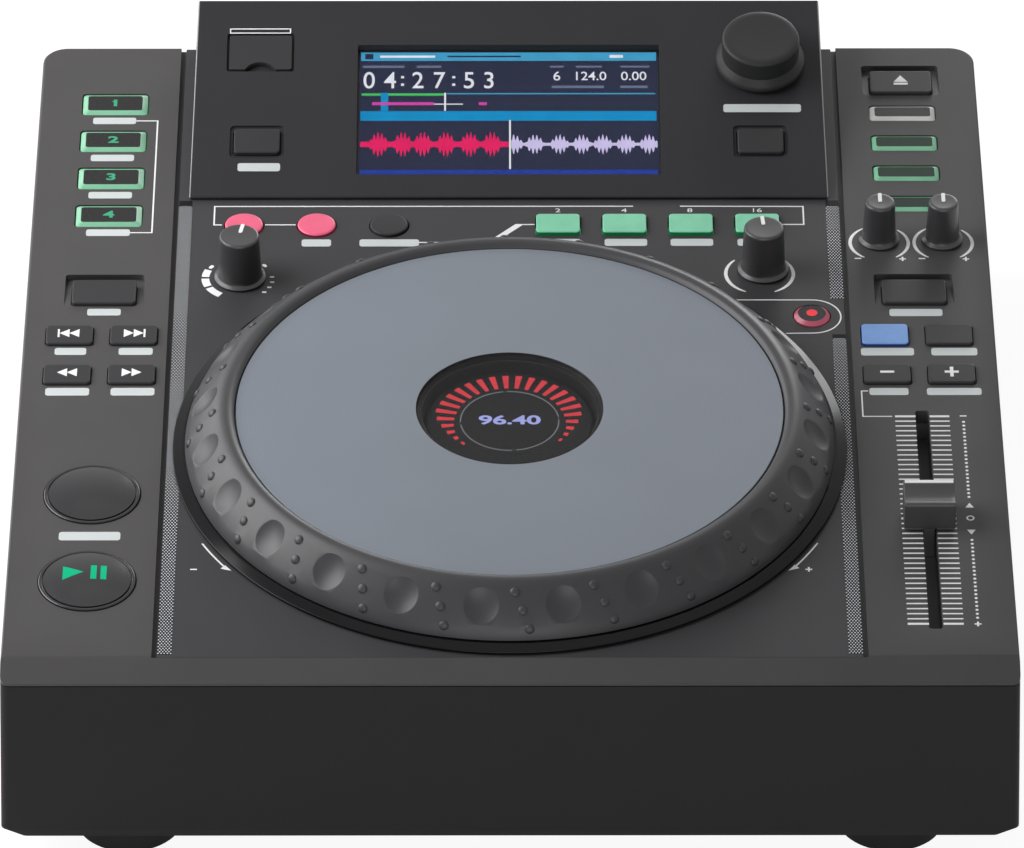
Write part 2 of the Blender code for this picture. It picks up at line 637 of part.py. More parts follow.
def hood_matrix():
    """Takes a point of the hood's face frame to the deck's frame."""
    return Matrix.Translation((0.0, HOOD_ROW, HOOD_FACE_Z)) @ Matrix.Rotation(HOOD_TILT, 4, "X")


def scoop(key):
    """Draws the finger scoop round a key: deep at its rear, level with the deck at its front."""
    front, rear = key.y - key.depth / 2, key.y + key.depth / 2 + SCOOP_REAR
    section = [(front, 0.0), (rear, -SCOOP_DEPTH), (rear, OVERRUN), (front, OVERRUN)]
    half = key.width / 2 + SCOOP_SIDE
    return prism_across(section, key.x - half, key.x + half)


def deck_hole_tools(low, high, places, keys):
    """Returns the cutters of the keys and of the knobs' bushes between two heights."""
    tools = [key.hole(low, high) for key in keys]
    bush = SHAFT_RADIUS + BUSH_WALL + GAP
    tools += [extruded(circle(x, y, bush, SEGMENTS_SMALL), low, high) for _, x, y, *_ in places]
    return tools


def hood_opening(low, high):
    half = HOOD_HALF - HOOD_OPENING_MARGIN
    return box(-half, half, HOOD_ROW + HOOD_OPENING_FRONT, DECK_LENGTH - HOOD_OPENING_REAR, low, high)


def make_top_case(deck, side_keys, centre_keys, places):
    """Top case: two raised side panels, a sunk middle for the plate, a sloping front band and bosses."""
    def ring(inset, height):
        outline = rounded_outline(-CASE_HALF + inset, CASE_HALF - inset, -CHAMFER_LENGTH,
                                  DECK_LENGTH - inset, FRONT_CORNER, REAR_CORNER, CORNER_STEPS_CASE)
        return at_height(outline, height)

    shape = lofted([ring(0.0, -TOP_WALL), ring(0.0, -TOP_EDGE_CUT), ring(TOP_EDGE_CUT, 0.0)])
    band = [(0.0, 0.0), (OVERRUN, OVERRUN), (-CHAMFER_LENGTH - OVERRUN, OVERRUN),
            (-CHAMFER_LENGTH - OVERRUN, -CHAMFER_DROP - OVERRUN * CHAMFER_DROP / CHAMFER_LENGTH)]
    shape = cut(shape, prism_across(band, -CASE_HALF - OVERRUN, CASE_HALF + OVERRUN))
    shape = cut(shape, box(-PANEL_INNER, PANEL_INNER, -PLATE_FRONT - GAP, DECK_LENGTH + OVERRUN,
                           -RECESS_DEPTH, OVERRUN))
    scooped = [key for key in side_keys if key.name in ("reverse_key", "eject_key", "jog_mode_key")]
    shape = cut(shape, gathered([scoop(key) for key in scooped]))
    low, high = -TOP_WALL - OVERRUN, OVERRUN
    tools = deck_hole_tools(low, high, places, side_keys + centre_keys)
    tools.append(extruded(circle(0.0, JOG_ROW, WELL_RADIUS, SEGMENTS_WIDE), low, high))
    tools.append(hood_opening(low, high))
    tools.append(fader_slot(low, high))
    shape = cut(shape, gathered(tools))
    bosses = []
    for share in BOSS_ROW_SHARES:
        for side in (-1, 1):
            outline = circle(side * (CASE_HALF - BOSS_IN_FROM_SIDE), share * DECK_LENGTH, BOSS_RADIUS,
                             SEGMENTS_SMALL)
            bosses.append(extruded(outline, BOARD_TOP + GAP, -TOP_WALL + SINK))
    shape = joined(shape, gathered(bosses))
    return piece("top_case", shape, DECK_PAINT, deck)


def fader_slot(low, high):
    half_width, half_length = FADER_SLOT_WIDTH / 2, FADER_SLOT_LENGTH / 2
    return box(COLUMN_X - half_width, COLUMN_X + half_width,
               FADER_ROW - half_length, FADER_ROW + half_length, low, high)


def make_centre_plate(deck, keys, places):
    """Centre plate: the sunk sheet between the side panels, under the jog wheel and the hood."""
    low, high = -PLATE_DROP - PLATE_THICKNESS, -PLATE_DROP
    shape = box(-PLATE_HALF, PLATE_HALF, -PLATE_FRONT, DECK_LENGTH - GAP, low, high)
    tools = deck_hole_tools(low - OVERRUN, OVERRUN, places, keys)
    tools.append(extruded(circle(0.0, JOG_ROW, WELL_RADIUS, SEGMENTS_WIDE), low - OVERRUN, OVERRUN))
    tools.append(hood_opening(low - OVERRUN, OVERRUN))
    shape = cut(shape, gathered(tools))
    return piece("centre_plate", shape, PLATE_PAINT, deck)


def make_base_shell():
    """Base shell: floor and four walls, open at the top along the deck's slope."""
    def ring(half, front, rear, height, inset=0.0):
        outline = rounded_outline(-half, half, front, rear, FRONT_CORNER, REAR_CORNER - inset,
                                  CORNER_STEPS_CASE)
        if height is None:
            rise = [DECK_FRONT_Z + ((y - DECK_FRONT_Y) * DECK_SIN - PARTING) / DECK_COS for x, y in outline]
            return [Vector((x, y, z)) for (x, y), z in zip(outline, rise)]
        return at_height(outline, height)

    foot_half = CASE_HALF + CASE_FLARE
    inner_half = CASE_HALF - CASE_WALL
    inner_front, inner_rear = FRONT_Y + CASE_WALL, REAR_Y - CASE_WALL
    shape = lofted([
        ring(foot_half - FOOT_CUT_WIDTH, FRONT_Y + FOOT_CUT_DEPTH, REAR_Y - FOOT_CUT_DEPTH, FOOT_HEIGHT),
        ring(foot_half, FRONT_Y, REAR_Y, FOOT_HEIGHT + FOOT_CUT_HEIGHT),
        ring(CASE_HALF, FRONT_Y, REAR_Y, None),
        ring(inner_half, inner_front, inner_rear, None, CASE_WALL),
        ring(inner_half, inner_front, inner_rear, FOOT_HEIGHT + FOOT_CUT_HEIGHT, CASE_WALL)])
    tools = []
    for x, size in ((INLET_X, INLET_SIZE), (SWITCH_X, SWITCH_BLOCK_SIZE), (NETWORK_X, NETWORK_SIZE)):
        half_width, half_height = size[0] / 2 + GAP, size[1] / 2 + GAP
        tools.append(box(x - half_width, x + half_width, inner_rear - OVERRUN, REAR_Y + OVERRUN,
                         REAR_ROW_Z - half_height, REAR_ROW_Z + half_height))
    for x in phono_places():
        hole = extruded(circle(0.0, 0.0, PHONO_BASE_RADIUS + GAP, SEGMENTS_SMALL),
                        -CASE_WALL - OVERRUN, OVERRUN)
        tools.append(moved(hole, rearward(x)))
    shape = cut(shape, gathered(tools))
    return piece("base_shell", shape, CASE_PAINT)


def rearward(x):
    """Takes a shape drawn along +Z to the rear wall, where it points out of the case."""
    return Matrix.Translation((x, REAR_Y, REAR_ROW_Z)) @ Matrix.Rotation(-math.pi / 2, 4, "X")


def phono_places():
    return [PHONO_FIRST_X + i * PHONO_PITCH for i in range(PHONO_COUNT)]


def rear_block(x, size, overrun=0.0):
    """Draws a block of a width, height and depth that starts at the connectors' rear faces."""
    width, height, depth = size
    rear = REAR_Y + REAR_PROUD
    return box(x - width / 2, x + width / 2, rear - depth, rear + overrun,
               REAR_ROW_Z - height / 2, REAR_ROW_Z + height / 2)


def make_rear_connectors():
    """Mains inlet, switch body, network socket and phono sockets, all held on one inner bracket."""
    blocks = ((INLET_X, INLET_SIZE, INLET_CAVITY), (SWITCH_X, SWITCH_BLOCK_SIZE, SWITCH_CAVITY),
              (NETWORK_X, NETWORK_SIZE, NETWORK_CAVITY))
    bodies = [rear_block(x, size) for x, size, _ in blocks]
    tip = REAR_PROUD + PHONO_LENGTH
    profile = [(0.0, -PHONO_INSIDE), (PHONO_BASE_RADIUS, -PHONO_INSIDE), (PHONO_BASE_RADIUS, REAR_PROUD),
               (PHONO_RADIUS, REAR_PROUD), (PHONO_RADIUS, tip), (PHONO_BORE, tip),
               (PHONO_BORE, REAR_PROUD), (0.0, REAR_PROUD)]
    bodies += [moved(turned(profile, SEGMENTS_SMALL), rearward(x)) for x in phono_places()]
    inside = REAR_Y - CASE_WALL - GAP
    bracket = box(INLET_X, phono_places()[-1], inside - BRACKET_THICKNESS, inside,
                  REAR_ROW_Z - BRACKET_HEIGHT / 2, REAR_ROW_Z + BRACKET_HEIGHT / 2)
    shape = joined(bracket, gathered(bodies))
    shape = cut(shape, gathered([rear_block(x, cavity, OVERRUN) for x, _, cavity in blocks]))
    floor = REAR_Y + REAR_PROUD - INLET_CAVITY[2]
    width, height, length = PIN_SIZE
    pins = []
    for side in (-1, 0, 1):
        x = INLET_X + side * PIN_PITCH
        z = REAR_ROW_Z + (PIN_RAISE if side == 0 else -PIN_RAISE)
        pins.append(box(x - width / 2, x + width / 2, floor - SINK, floor + length,
                        z - height / 2, z + height / 2))
    return piece("rear_connectors", joined(shape, gathered(pins)), KEY_PAINT)


def make_power_switch():
    """Rocker of the mains switch, resting with one end pressed in."""
    pivot = (SWITCH_X, REAR_Y + REAR_PROUD - ROCKER_PIVOT_IN, REAR_ROW_Z)
    section = [(ROCKER_EDGE_OUT, -ROCKER_HALF_HEIGHT), (ROCKER_DIP_OUT, 0.0),
               (ROCKER_EDGE_OUT, ROCKER_HALF_HEIGHT), (0.0, ROCKER_HALF_HEIGHT),
               (-ROCKER_BACK, ROCKER_BACK_HALF), (-ROCKER_BACK, -ROCKER_BACK_HALF),
               (0.0, -ROCKER_HALF_HEIGHT)]
    half = SWITCH_CAVITY[0] / 2 - GAP
    shape = prism_across(section, -half, half)
    return piece("power_switch", shape, KEY_PAINT, None, pivot, -ROCKER_TILT)


def make_feet():
    """Four tapered rubber feet under the case."""
    top = FOOT_HEIGHT - GAP
    profile = [(0.0, 0.0), (FOOT_TIP_RADIUS, 0.0), (FOOT_RADIUS, top), (0.0, top)]
    for side, x in (("left", -CASE_HALF + FOOT_IN_FROM_SIDE), ("right", CASE_HALF - FOOT_IN_FROM_SIDE)):
        for end, y in (("front", FRONT_Y + FOOT_IN_FROM_END), ("rear", REAR_Y - FOOT_IN_FROM_END)):
            piece(f"foot_{end}_{side}", turned(profile, SEGMENTS_KNOB), FOOT_PAINT, None, (x, y, 0.0))


def make_display_hood(deck):
    """Display hood: a hollow wedge over the rear of the deck, with openings in its face."""
    lean = (HOOD_TOP_Z - HOOD_FOOT) * math.tan(DECK_SLOPE)
    top_half = HOOD_HALF - HOOD_SIDE_DRAFT
    foot = [(-HOOD_HALF, HOOD_ROW), (HOOD_HALF, HOOD_ROW), (HOOD_HALF, HOOD_TOP_ROW - lean),
            (-HOOD_HALF, HOOD_TOP_ROW - lean)]
    face = [Vector((-HOOD_HALF, HOOD_ROW, HOOD_FACE_Z)), Vector((HOOD_HALF, HOOD_ROW, HOOD_FACE_Z)),
            Vector((top_half, HOOD_TOP_ROW, HOOD_TOP_Z)), Vector((-top_half, HOOD_TOP_ROW, HOOD_TOP_Z))]
    shape = lofted([at_height(foot, HOOD_FOOT), face])
    rounded = [edge for edge in shape.edges if all(vert.co in face for vert in edge.verts)
               and any(vert.co in face[2:] for vert in edge.verts)]
    bmesh.ops.bevel(shape, geom=rounded, offset=HOOD_EDGE, segments=2, profile=0.5, affect="EDGES")
    rear = HOOD_TOP_ROW - lean - HOOD_WALL
    depth = HOOD_WALL / math.cos(HOOD_TILT)
    slope = math.tan(HOOD_TILT)
    low = HOOD_FOOT - OVERRUN
    start = HOOD_ROW + (low - HOOD_FACE_Z + depth) / slope
    hollow = [(start, low), (rear, HOOD_FACE_Z - depth + (rear - HOOD_ROW) * slope), (rear, low)]
    inner_half = top_half - HOOD_WALL
    shape = cut(shape, prism_across(hollow, -inner_half, inner_half))
    shape = cut(shape, moved(gathered(hood_seats()), hood_matrix()))
    shape = cut(shape, moved(gathered(hood_holes()), hood_matrix()))
    return piece("display_hood", shape, HOOD_PAINT, deck)


def flap_seat_outline():
    """Returns the flap's recess: its width, its front and its rear on the hood's face."""
    half = FLAP_WIDTH / 2 + FLAP_SIDE
    front = FLAP_ROW - FLAP_DEPTH / 2 - FLAP_SIDE
    pin_reach = math.hypot(FLAP_PIN_IN, FLAP_THICKNESS / 2)
    rear = FLAP_ROW + FLAP_DEPTH / 2 - FLAP_PIN_IN + pin_reach + GAP
    return half, front, rear


def hood_seats():
    """Returns the shallow recesses in the hood's face: the flap's, and a tray round each key."""
    half, front, rear = flap_seat_outline()
    seats = [box(FLAP_X - half, FLAP_X + half, front, rear, -FLAP_SEAT_DEPTH, OVERRUN)]
    for key in hood_keys():
        outline = centred_outline(key.x, key.y, key.width + 2 * TRAY_SIDE, key.depth + 2 * TRAY_END,
                                  KEY_CORNER, CORNER_STEPS_KEY)
        seats.append(extruded(outline, -TRAY_DEPTH, OVERRUN))
    return seats


def hood_holes():
    """Returns the openings through the hood's face."""
    low, high = -HOOD_WALL - OVERRUN, OVERRUN
    holes = [key.hole(low, high) for key in hood_keys()]
    half_x, half_y = SCREEN_WIDTH / 2 + GAP, SCREEN_HEIGHT / 2 + GAP
    holes.append(box(-half_x, half_x, SCREEN_ROW - half_y, SCREEN_ROW + half_y, low, high))
    holes.append(extruded(circle(BROWSE_X, BROWSE_ROW, SHAFT_RADIUS + BUSH_WALL, SEGMENTS_SMALL), low, high))
    half_x, half_y = STICK_WIDTH / 2 + SOCKET_MOUTH_CUT, STICK_THICKNESS / 2 + SOCKET_MOUTH_CUT
    holes.append(box(FLAP_X - half_x, FLAP_X + half_x, FLAP_ROW - half_y, FLAP_ROW + half_y, low, high))
    return holes


def make_screen(hood):
    """Clear window in the hood's face, and the screen module that carries it."""
    half_x, half_y = SCREEN_WIDTH / 2, SCREEN_HEIGHT / 2
    window = box(-half_x, half_x, SCREEN_ROW - half_y, SCREEN_ROW + half_y, -HOOD_WALL, -WINDOW_SUNK)
    piece("screen_window", window, GLASS_PAINT, hood)
    half_x, half_y = half_x + MODULE_BORDER_X, half_y + MODULE_BORDER_Y
    top = -HOOD_WALL - GAP
    module = box(-half_x, half_x, SCREEN_ROW - half_y, SCREEN_ROW + half_y, top - MODULE_THICKNESS, top)
    piece("screen_module", module, SCREEN_PAINT, hood)


def make_hood_board(hood):
    """Board behind the hood's face, with two switches, the browse encoder and the stick socket."""
    foot, base = HOOD_BOARD_TOP - BOARD_THICKNESS, HOOD_BOARD_TOP - SINK
    half = HOOD_HALF - HOOD_OPENING_MARGIN - HOOD_BOARD_MARGIN
    shape = box(-half, half, HOOD_BOARD_FRONT, HOOD_BOARD_REAR, foot, HOOD_BOARD_TOP)
    under_face = -HOOD_WALL - GAP
    outer_x, outer_y = STICK_WIDTH / 2 + SOCKET_WALL, STICK_THICKNESS / 2 + SOCKET_WALL
    socket_foot = under_face - STICK_DEPTH - SOCKET_WALL
    parts = [box(FLAP_X - outer_x, FLAP_X + outer_x, FLAP_ROW - outer_y, FLAP_ROW + outer_y,
                 socket_foot, under_face)]
    bore = SHAFT_RADIUS + GAP
    encoder = [(bore, base), (POT_RADIUS, base), (POT_RADIUS, under_face), (bore, under_face)]
    parts.append(turned(encoder, SEGMENTS_SMALL, BROWSE_X, BROWSE_ROW))
    switch_top = under_face - KEY_FLANGE_THICKNESS - KEY_TRAVEL - GAP
    for key in hood_keys():
        outline = centred_outline(key.x, key.y, SWITCH_SIZE, SWITCH_SIZE, KEY_EDGE, CORNER_STEPS_KEY)
        parts.append(extruded(outline, base, switch_top))
    shape = joined(shape, gathered(parts))
    half_x, half_y = STICK_WIDTH / 2, STICK_THICKNESS / 2
    slot = box(FLAP_X - half_x, FLAP_X + half_x, FLAP_ROW - half_y, FLAP_ROW + half_y,
               under_face - STICK_DEPTH, under_face + OVERRUN)
    piece("hood_board", cut(shape, slot), BOARD_PAINT, hood)


def make_flap(hood):
    """Flap over the socket, hinged along its rear edge and notched for a finger."""
    low, high = -FLAP_THICKNESS / 2, FLAP_THICKNESS / 2
    half = FLAP_WIDTH / 2
    front = FLAP_PIN_IN - FLAP_DEPTH
    shape = box(-half, half, front, FLAP_PIN_IN, low, high)
    notch = circle(0.0, front - FLAP_NOTCH_RADIUS + FLAP_NOTCH_REACH, FLAP_NOTCH_RADIUS, SEGMENTS_KNOB)
    shape = cut(shape, extruded(notch, low - OVERRUN, high + OVERRUN))
    pin = (FLAP_X, FLAP_ROW + FLAP_DEPTH / 2 - FLAP_PIN_IN, -FLAP_THICKNESS / 2)
    piece("stick_flap", shape, KEY_PAINT, hood, pin)


def make_browse_knob(hood):
    """Browse knob: its shaft slides in the encoder's body to press, and the knob turns on the shaft."""
    lift = BROWSE_TRAVEL + GAP
    foot, pin_top = HOOD_BOARD_TOP + lift, lift + SHAFT_ENTRY
    shaft = [(0.0, foot), (SHAFT_RADIUS, foot), (SHAFT_RADIUS, pin_top), (0.0, pin_top)]
    place = (BROWSE_X, BROWSE_ROW, 0.0)
    piece("browse_shaft", turned(shaft, SEGMENTS_SMALL), METAL_PAINT, hood, place)
    bore = SHAFT_RADIUS + GAP
    top = BROWSE_HEIGHT
    profile = [(bore, lift), (BROWSE_RADIUS + BROWSE_SKIRT, lift),
               (BROWSE_RADIUS, lift + BROWSE_SKIRT_HEIGHT), (BROWSE_RADIUS, top - KNOB_TOP_EDGE),
               (BROWSE_RADIUS - BROWSE_TOP_EDGE, top), (0.0, top), (0.0, pin_top + GAP),
               (bore, pin_top + GAP)]
    piece("browse_knob", turned(profile, SEGMENTS_HUB), KNOB_PAINT, hood, place)


def make_hood_keys(hood):
    for key in hood_keys():
        key.rise += TRAY_DEPTH
        piece(key.name, key.shape(HOOD_WALL), key.paint, hood, (key.x, key.y, 0.0))


def make_knobs(deck, places):
    """Deck knobs: a short skirt, a tapering body and a bore for the potentiometer's shaft."""
    bore = SHAFT_RADIUS + GAP
    for name, x, y, level, radius, height in places:
        profile = [(bore, GAP), (radius + KNOB_SKIRT, GAP), (radius + KNOB_SKIRT, GAP + KNOB_SKIRT_HEIGHT),
                   (radius, GAP + 2 * KNOB_SKIRT_HEIGHT), (radius - KNOB_TAPER, height - KNOB_TOP_EDGE),
                   (radius - KNOB_TAPER - KNOB_TOP_EDGE, height), (0.0, height),
                   (0.0, SHAFT_ENTRY + GAP), (bore, SHAFT_ENTRY + GAP)]
        piece(name, turned(profile, SEGMENTS_KNOB), KNOB_PAINT, deck, (x, y, level))


def potentiometers(places):
    """Draws the body, bush and shaft of each deck knob's potentiometer, standing on the board."""
    foot, underside = BOARD_TOP - SINK, -TOP_WALL - GAP
    bush = SHAFT_RADIUS + BUSH_WALL
    bodies = []
    for _, x, y, level, *_ in places:
        profile = [(0.0, foot), (POT_RADIUS, foot), (POT_RADIUS, underside), (bush, underside),
                   (bush, level), (SHAFT_RADIUS, level), (SHAFT_RADIUS, level + SHAFT_ENTRY),
                   (0.0, level + SHAFT_ENTRY)]
        bodies.append(turned(profile, SEGMENTS_SMALL, x, y))
    return bodies


def make_fader(deck):
    """Slide potentiometer under the deck, and the fader cap that runs in its slot."""
    top = -TOP_WALL - GAP
    floor = BOARD_TOP + GAP
    half_length = FADER_SLOT_LENGTH / 2 + FADER_BODY_END
    half_width = FADER_BODY_WIDTH / 2
    body = box(COLUMN_X - half_width, COLUMN_X + half_width,
               FADER_ROW - half_length, FADER_ROW + half_length, floor, top)
    body = cut(body, fader_slot(floor + FADER_BODY_FLOOR, OVERRUN))
    piece("fader_track", body, METAL_PAINT, deck)
    low, high, half = FADER_CAP_LIFT, FADER_CAP_HEIGHT, FADER_CAP_LENGTH / 2
    edge = KNOB_TOP_EDGE
    section = [(-half + edge, low), (half - edge, low), (half, high - edge), (half - edge, high),
               (half - 2 * edge, high), (edge, high - FADER_CAP_SADDLE), (-edge, high - FADER_CAP_SADDLE),
               (-half + 2 * edge, high - edge), (-half + edge, high - edge), (-half, high - 2 * edge)]
    cap = prism_across(section, -FADER_CAP_WIDTH / 2, FADER_CAP_WIDTH / 2)
    stem_x = FADER_SLOT_WIDTH / 2 - FADER_STEM_SIDE
    stem = box(-stem_x, stem_x, -FADER_STEM_LENGTH / 2, FADER_STEM_LENGTH / 2,
               floor + FADER_BODY_FLOOR + GAP, low + SINK)
    piece("fader_cap", joined(cap, stem), KNOB_PAINT, deck, (COLUMN_X, FADER_ROW, 0.0))


def make_control_board(deck, keys, places):
    """U-shaped control board with a switch under each deck key and the knobs' potentiometers."""
    half = CASE_HALF - BOARD_EDGE
    slip = next(key for key in keys if key.name == "slip_key")
    inner = slip.x - SWITCH_SIZE / 2 - BOARD_KEY_MARGIN
    rear = HOOD_ROW - BOARD_REAR
    bridge = rear - BOARD_BRIDGE
    outline = [(-half, BOARD_FRONT), (-inner, BOARD_FRONT), (-inner, bridge), (inner, bridge),
               (inner, BOARD_FRONT), (half, BOARD_FRONT), (half, rear), (-half, rear)]
    shape = extruded(outline, BOARD_TOP - BOARD_THICKNESS, BOARD_TOP)
    arms = []
    arm_rear = DECK_LENGTH - REAR_CORNER
    for side in (-1, 1):
        low, high = sorted((side * half, side * (PANEL_INNER + GAP)))
        arms.append(box(low, high, rear - SINK, arm_rear, BOARD_TOP - BOARD_THICKNESS, BOARD_TOP))
    shape = joined(shape, gathered(arms))
    top = -TOP_WALL - GAP - KEY_FLANGE_THICKNESS - KEY_TRAVEL - GAP
    switches = [extruded(centred_outline(key.x, key.y, SWITCH_SIZE, SWITCH_SIZE, KEY_EDGE, CORNER_STEPS_KEY),
                         BOARD_TOP - SINK, top) for key in keys]
    shape = joined(shape, gathered(switches + potentiometers(places)))
    return piece("control_board", shape, BOARD_PAINT, deck)


def make_keys(deck, keys):
    for key in keys:
        key_shape = key.shape(TOP_WALL)
        if key.name in ("cue_key", "play_key"):
            crown = [(inset * PLAY_RADIUS, rise * PLAY_CROWN) for inset, rise in PLAY_CROWN_SHARES]
            key_shape = key.shape(TOP_WALL, [(PLAY_RIM, 0.0)] + crown)
        piece(key.name, key_shape, key.paint, deck, (key.x, key.y, key.level))


def make_jog(jog):
    """Jog wheel: platter, dimpled ring and clear window turn round a fixed post with a display."""
    bearing_out = WELL_RADIUS + BEARING_FLANGE
    plate_top = -TOP_WALL - GAP
    boss = POST_RADIUS + BEARING_BOSS_WALL
    bearing = [(POST_BORE, plate_top - BEARING_PLATE), (bearing_out, plate_top - BEARING_PLATE),
               (bearing_out, plate_top), (boss, plate_top), (boss, BOSS_TOP), (POST_RADIUS, BOSS_TOP),
               (POST_RADIUS, POST_TOP), (POST_BORE, POST_TOP)]
    piece("jog_bearing", turned(bearing, SEGMENTS_HUB), METAL_PAINT, jog)
    display_radius = CUP_RADIUS - DISPLAY_EDGE_GAP
    display = [(0.0, DISPLAY_FOOT), (display_radius, DISPLAY_FOOT), (display_radius, DISPLAY_TOP),
               (0.0, DISPLAY_TOP)]
    piece("jog_display", turned(display, SEGMENTS_HUB), SCREEN_PAINT, jog)
    surround = [(SURROUND_INNER, SURROUND_FOOT), (SURROUND_RADIUS, SURROUND_FOOT),
                (SURROUND_RADIUS, SURROUND_FOOT + SURROUND_EDGE),
                (SURROUND_RADIUS - SURROUND_SLOPE, SURROUND_TOP), (SURROUND_INNER, SURROUND_TOP)]
    piece("jog_surround", turned(surround, SEGMENTS_WIDE), GLOSS_PAINT, jog)
    sleeve = POST_RADIUS + GAP
    cup_floor = POST_TOP - DISPLAY_FLOOR_GAP
    platter = [(sleeve, BOSS_TOP + GAP), (sleeve + SLEEVE_WALL, BOSS_TOP + GAP),
               (sleeve + SLEEVE_WALL, cup_floor - HUB_CUP_WALL),
               (CUP_RADIUS + HUB_CUP_WALL, cup_floor - HUB_CUP_WALL),
               (CUP_RADIUS + HUB_CUP_WALL, PLATTER_FOOT), (PLATTER_RADIUS, PLATTER_FOOT),
               (PLATTER_RADIUS, PLATTER_HEIGHT), (HUB_RADIUS + GAP, PLATTER_HEIGHT),
               (HUB_RADIUS + GAP, HUB_LEDGE), (CUP_RADIUS, HUB_LEDGE), (CUP_RADIUS, cup_floor),
               (sleeve, cup_floor)]
    piece("jog_platter", turned(platter, SEGMENTS_WIDE), PLATTER_PAINT, jog)
    window_foot = HUB_LEDGE + GAP
    window = [(0.0, window_foot), (HUB_RADIUS, window_foot), (HUB_RADIUS, PLATTER_HEIGHT),
              (0.0, PLATTER_HEIGHT)]
    piece("jog_window", turned(window, SEGMENTS_HUB), GLASS_PAINT, jog)
    make_jog_ring(jog)


def make_jog_ring(jog):
    """Rubber ring with a steep side, a rounded crest and a row of finger dimples."""
    inner = PLATTER_RADIUS + GAP
    shoulder = (JOG_RADIUS - JOG_SHOULDER_IN, RING_FOOT + JOG_SHOULDER_HEIGHT)
    drops = [JOG_CREST_HEIGHT - share * JOG_CREST_ROUND for share in JOG_CREST_DROP_SHARES]
    crest_out = (JOG_CREST_RADIUS + JOG_CREST_ROUND, drops[0])
    profile = [(JOG_RADIUS - JOG_FOOT_WALL, RING_FOOT), (JOG_RADIUS, RING_FOOT), shoulder, crest_out,
               (JOG_CREST_RADIUS, JOG_CREST_HEIGHT),
               (JOG_CREST_RADIUS - JOG_CREST_ROUND, drops[1]),
               (inner, PLATTER_HEIGHT - GAP), (inner, PLATTER_FOOT),
               (JOG_CREST_RADIUS, PLATTER_FOOT)]
    ring = turned(profile, SEGMENTS_WIDE)
    run, climb = crest_out[0] - shoulder[0], crest_out[1] - shoulder[1]
    length = math.hypot(run, climb)
    normal = Vector((climb / length, 0.0, -run / length))
    share = DIMPLE_MIDDLE_SHARE
    middle = Vector((shoulder[0] + run * share, 0.0, shoulder[1] + climb * share))
    bowl = [(radius * DIMPLE_RADIUS, height * DIMPLE_DEPTH) for radius, height in DIMPLE_BOWL_SHARES]
    tilt = Vector((0.0, 0.0, 1.0)).rotation_difference(normal).to_matrix().to_4x4()
    tools = []
    for i in range(DIMPLE_COUNT):
        turn = Matrix.Rotation(2 * math.pi * (i + 0.5) / DIMPLE_COUNT, 4, "Z")
        tools.append(moved(turned(bowl, SEGMENTS_DIMPLE), turn @ Matrix.Translation(middle) @ tilt))
    piece("jog_ring", cut(ring, gathered(tools)), RUBBER_PAINT, jog)


def main():
    clear_scene()
    deck = frame("deck_frame", (0.0, DECK_FRONT_Y, DECK_FRONT_Z), DECK_SLOPE)
    hood = frame("hood_frame", (0.0, HOOD_ROW, HOOD_FACE_Z), HOOD_TILT, deck)
    jog = frame("jog_axis", (0.0, JOG_ROW, 0.0), 0.0, deck)
    side_keys = left_keys() + right_keys() + play_keys()
    centre_keys = plate_keys()
    places = knob_places()
    plate_places = [place for place in places if place[3] < 0.0]
    make_base_shell()
    make_feet()
    make_rear_connectors()
    make_power_switch()
    make_top_case(deck, side_keys, centre_keys, places)
    make_centre_plate(deck, centre_keys, plate_places)
    make_control_board(deck, side_keys + centre_keys, places)
    make_knobs(deck, places)
    make_fader(deck)
    make_keys(deck, side_keys + centre_keys)
    make_jog(jog)
    make_display_hood(deck)
    make_screen(hood)
    make_hood_board(hood)
    make_flap(hood)
    make_browse_knob(hood)
    make_hood_keys(hood)


main()
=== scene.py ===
"""Looks of a tabletop disc jockey player: casings, keys, jog wheel, screen and printed marks.

Most pieces are drawn in the deck's own frame: x across, y from the deck's front line to the rear,
z square to the side panels. Pieces on the display hood are drawn in the hood face's frame.
"""
import json
import math
import bpy
from mathutils import Matrix, Vector


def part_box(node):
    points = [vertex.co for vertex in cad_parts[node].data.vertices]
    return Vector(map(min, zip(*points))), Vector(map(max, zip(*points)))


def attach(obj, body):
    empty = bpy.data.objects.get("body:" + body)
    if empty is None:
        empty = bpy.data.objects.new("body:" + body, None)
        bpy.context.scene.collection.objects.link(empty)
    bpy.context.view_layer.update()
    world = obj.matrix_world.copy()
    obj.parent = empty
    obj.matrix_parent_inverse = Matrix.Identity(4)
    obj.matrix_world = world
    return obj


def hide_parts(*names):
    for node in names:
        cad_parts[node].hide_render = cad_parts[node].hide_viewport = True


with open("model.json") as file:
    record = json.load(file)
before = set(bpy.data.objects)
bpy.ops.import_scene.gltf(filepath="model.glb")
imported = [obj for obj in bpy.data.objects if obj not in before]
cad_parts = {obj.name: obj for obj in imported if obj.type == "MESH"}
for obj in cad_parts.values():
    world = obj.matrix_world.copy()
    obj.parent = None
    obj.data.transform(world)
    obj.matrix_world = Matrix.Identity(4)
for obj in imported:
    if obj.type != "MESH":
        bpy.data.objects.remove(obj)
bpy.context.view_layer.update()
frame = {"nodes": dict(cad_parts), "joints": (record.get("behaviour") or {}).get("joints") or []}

MM = 0.001
GAP = 0.3 * MM
MARK = 0.04 * MM                    # thickness of printed ink
SINK = 0.05 * MM                    # how deep ink and inlays reach into what carries them
OVERRUN = 2.0 * MM
MERGE = 0.001 * MM
TURN = 2 * math.pi

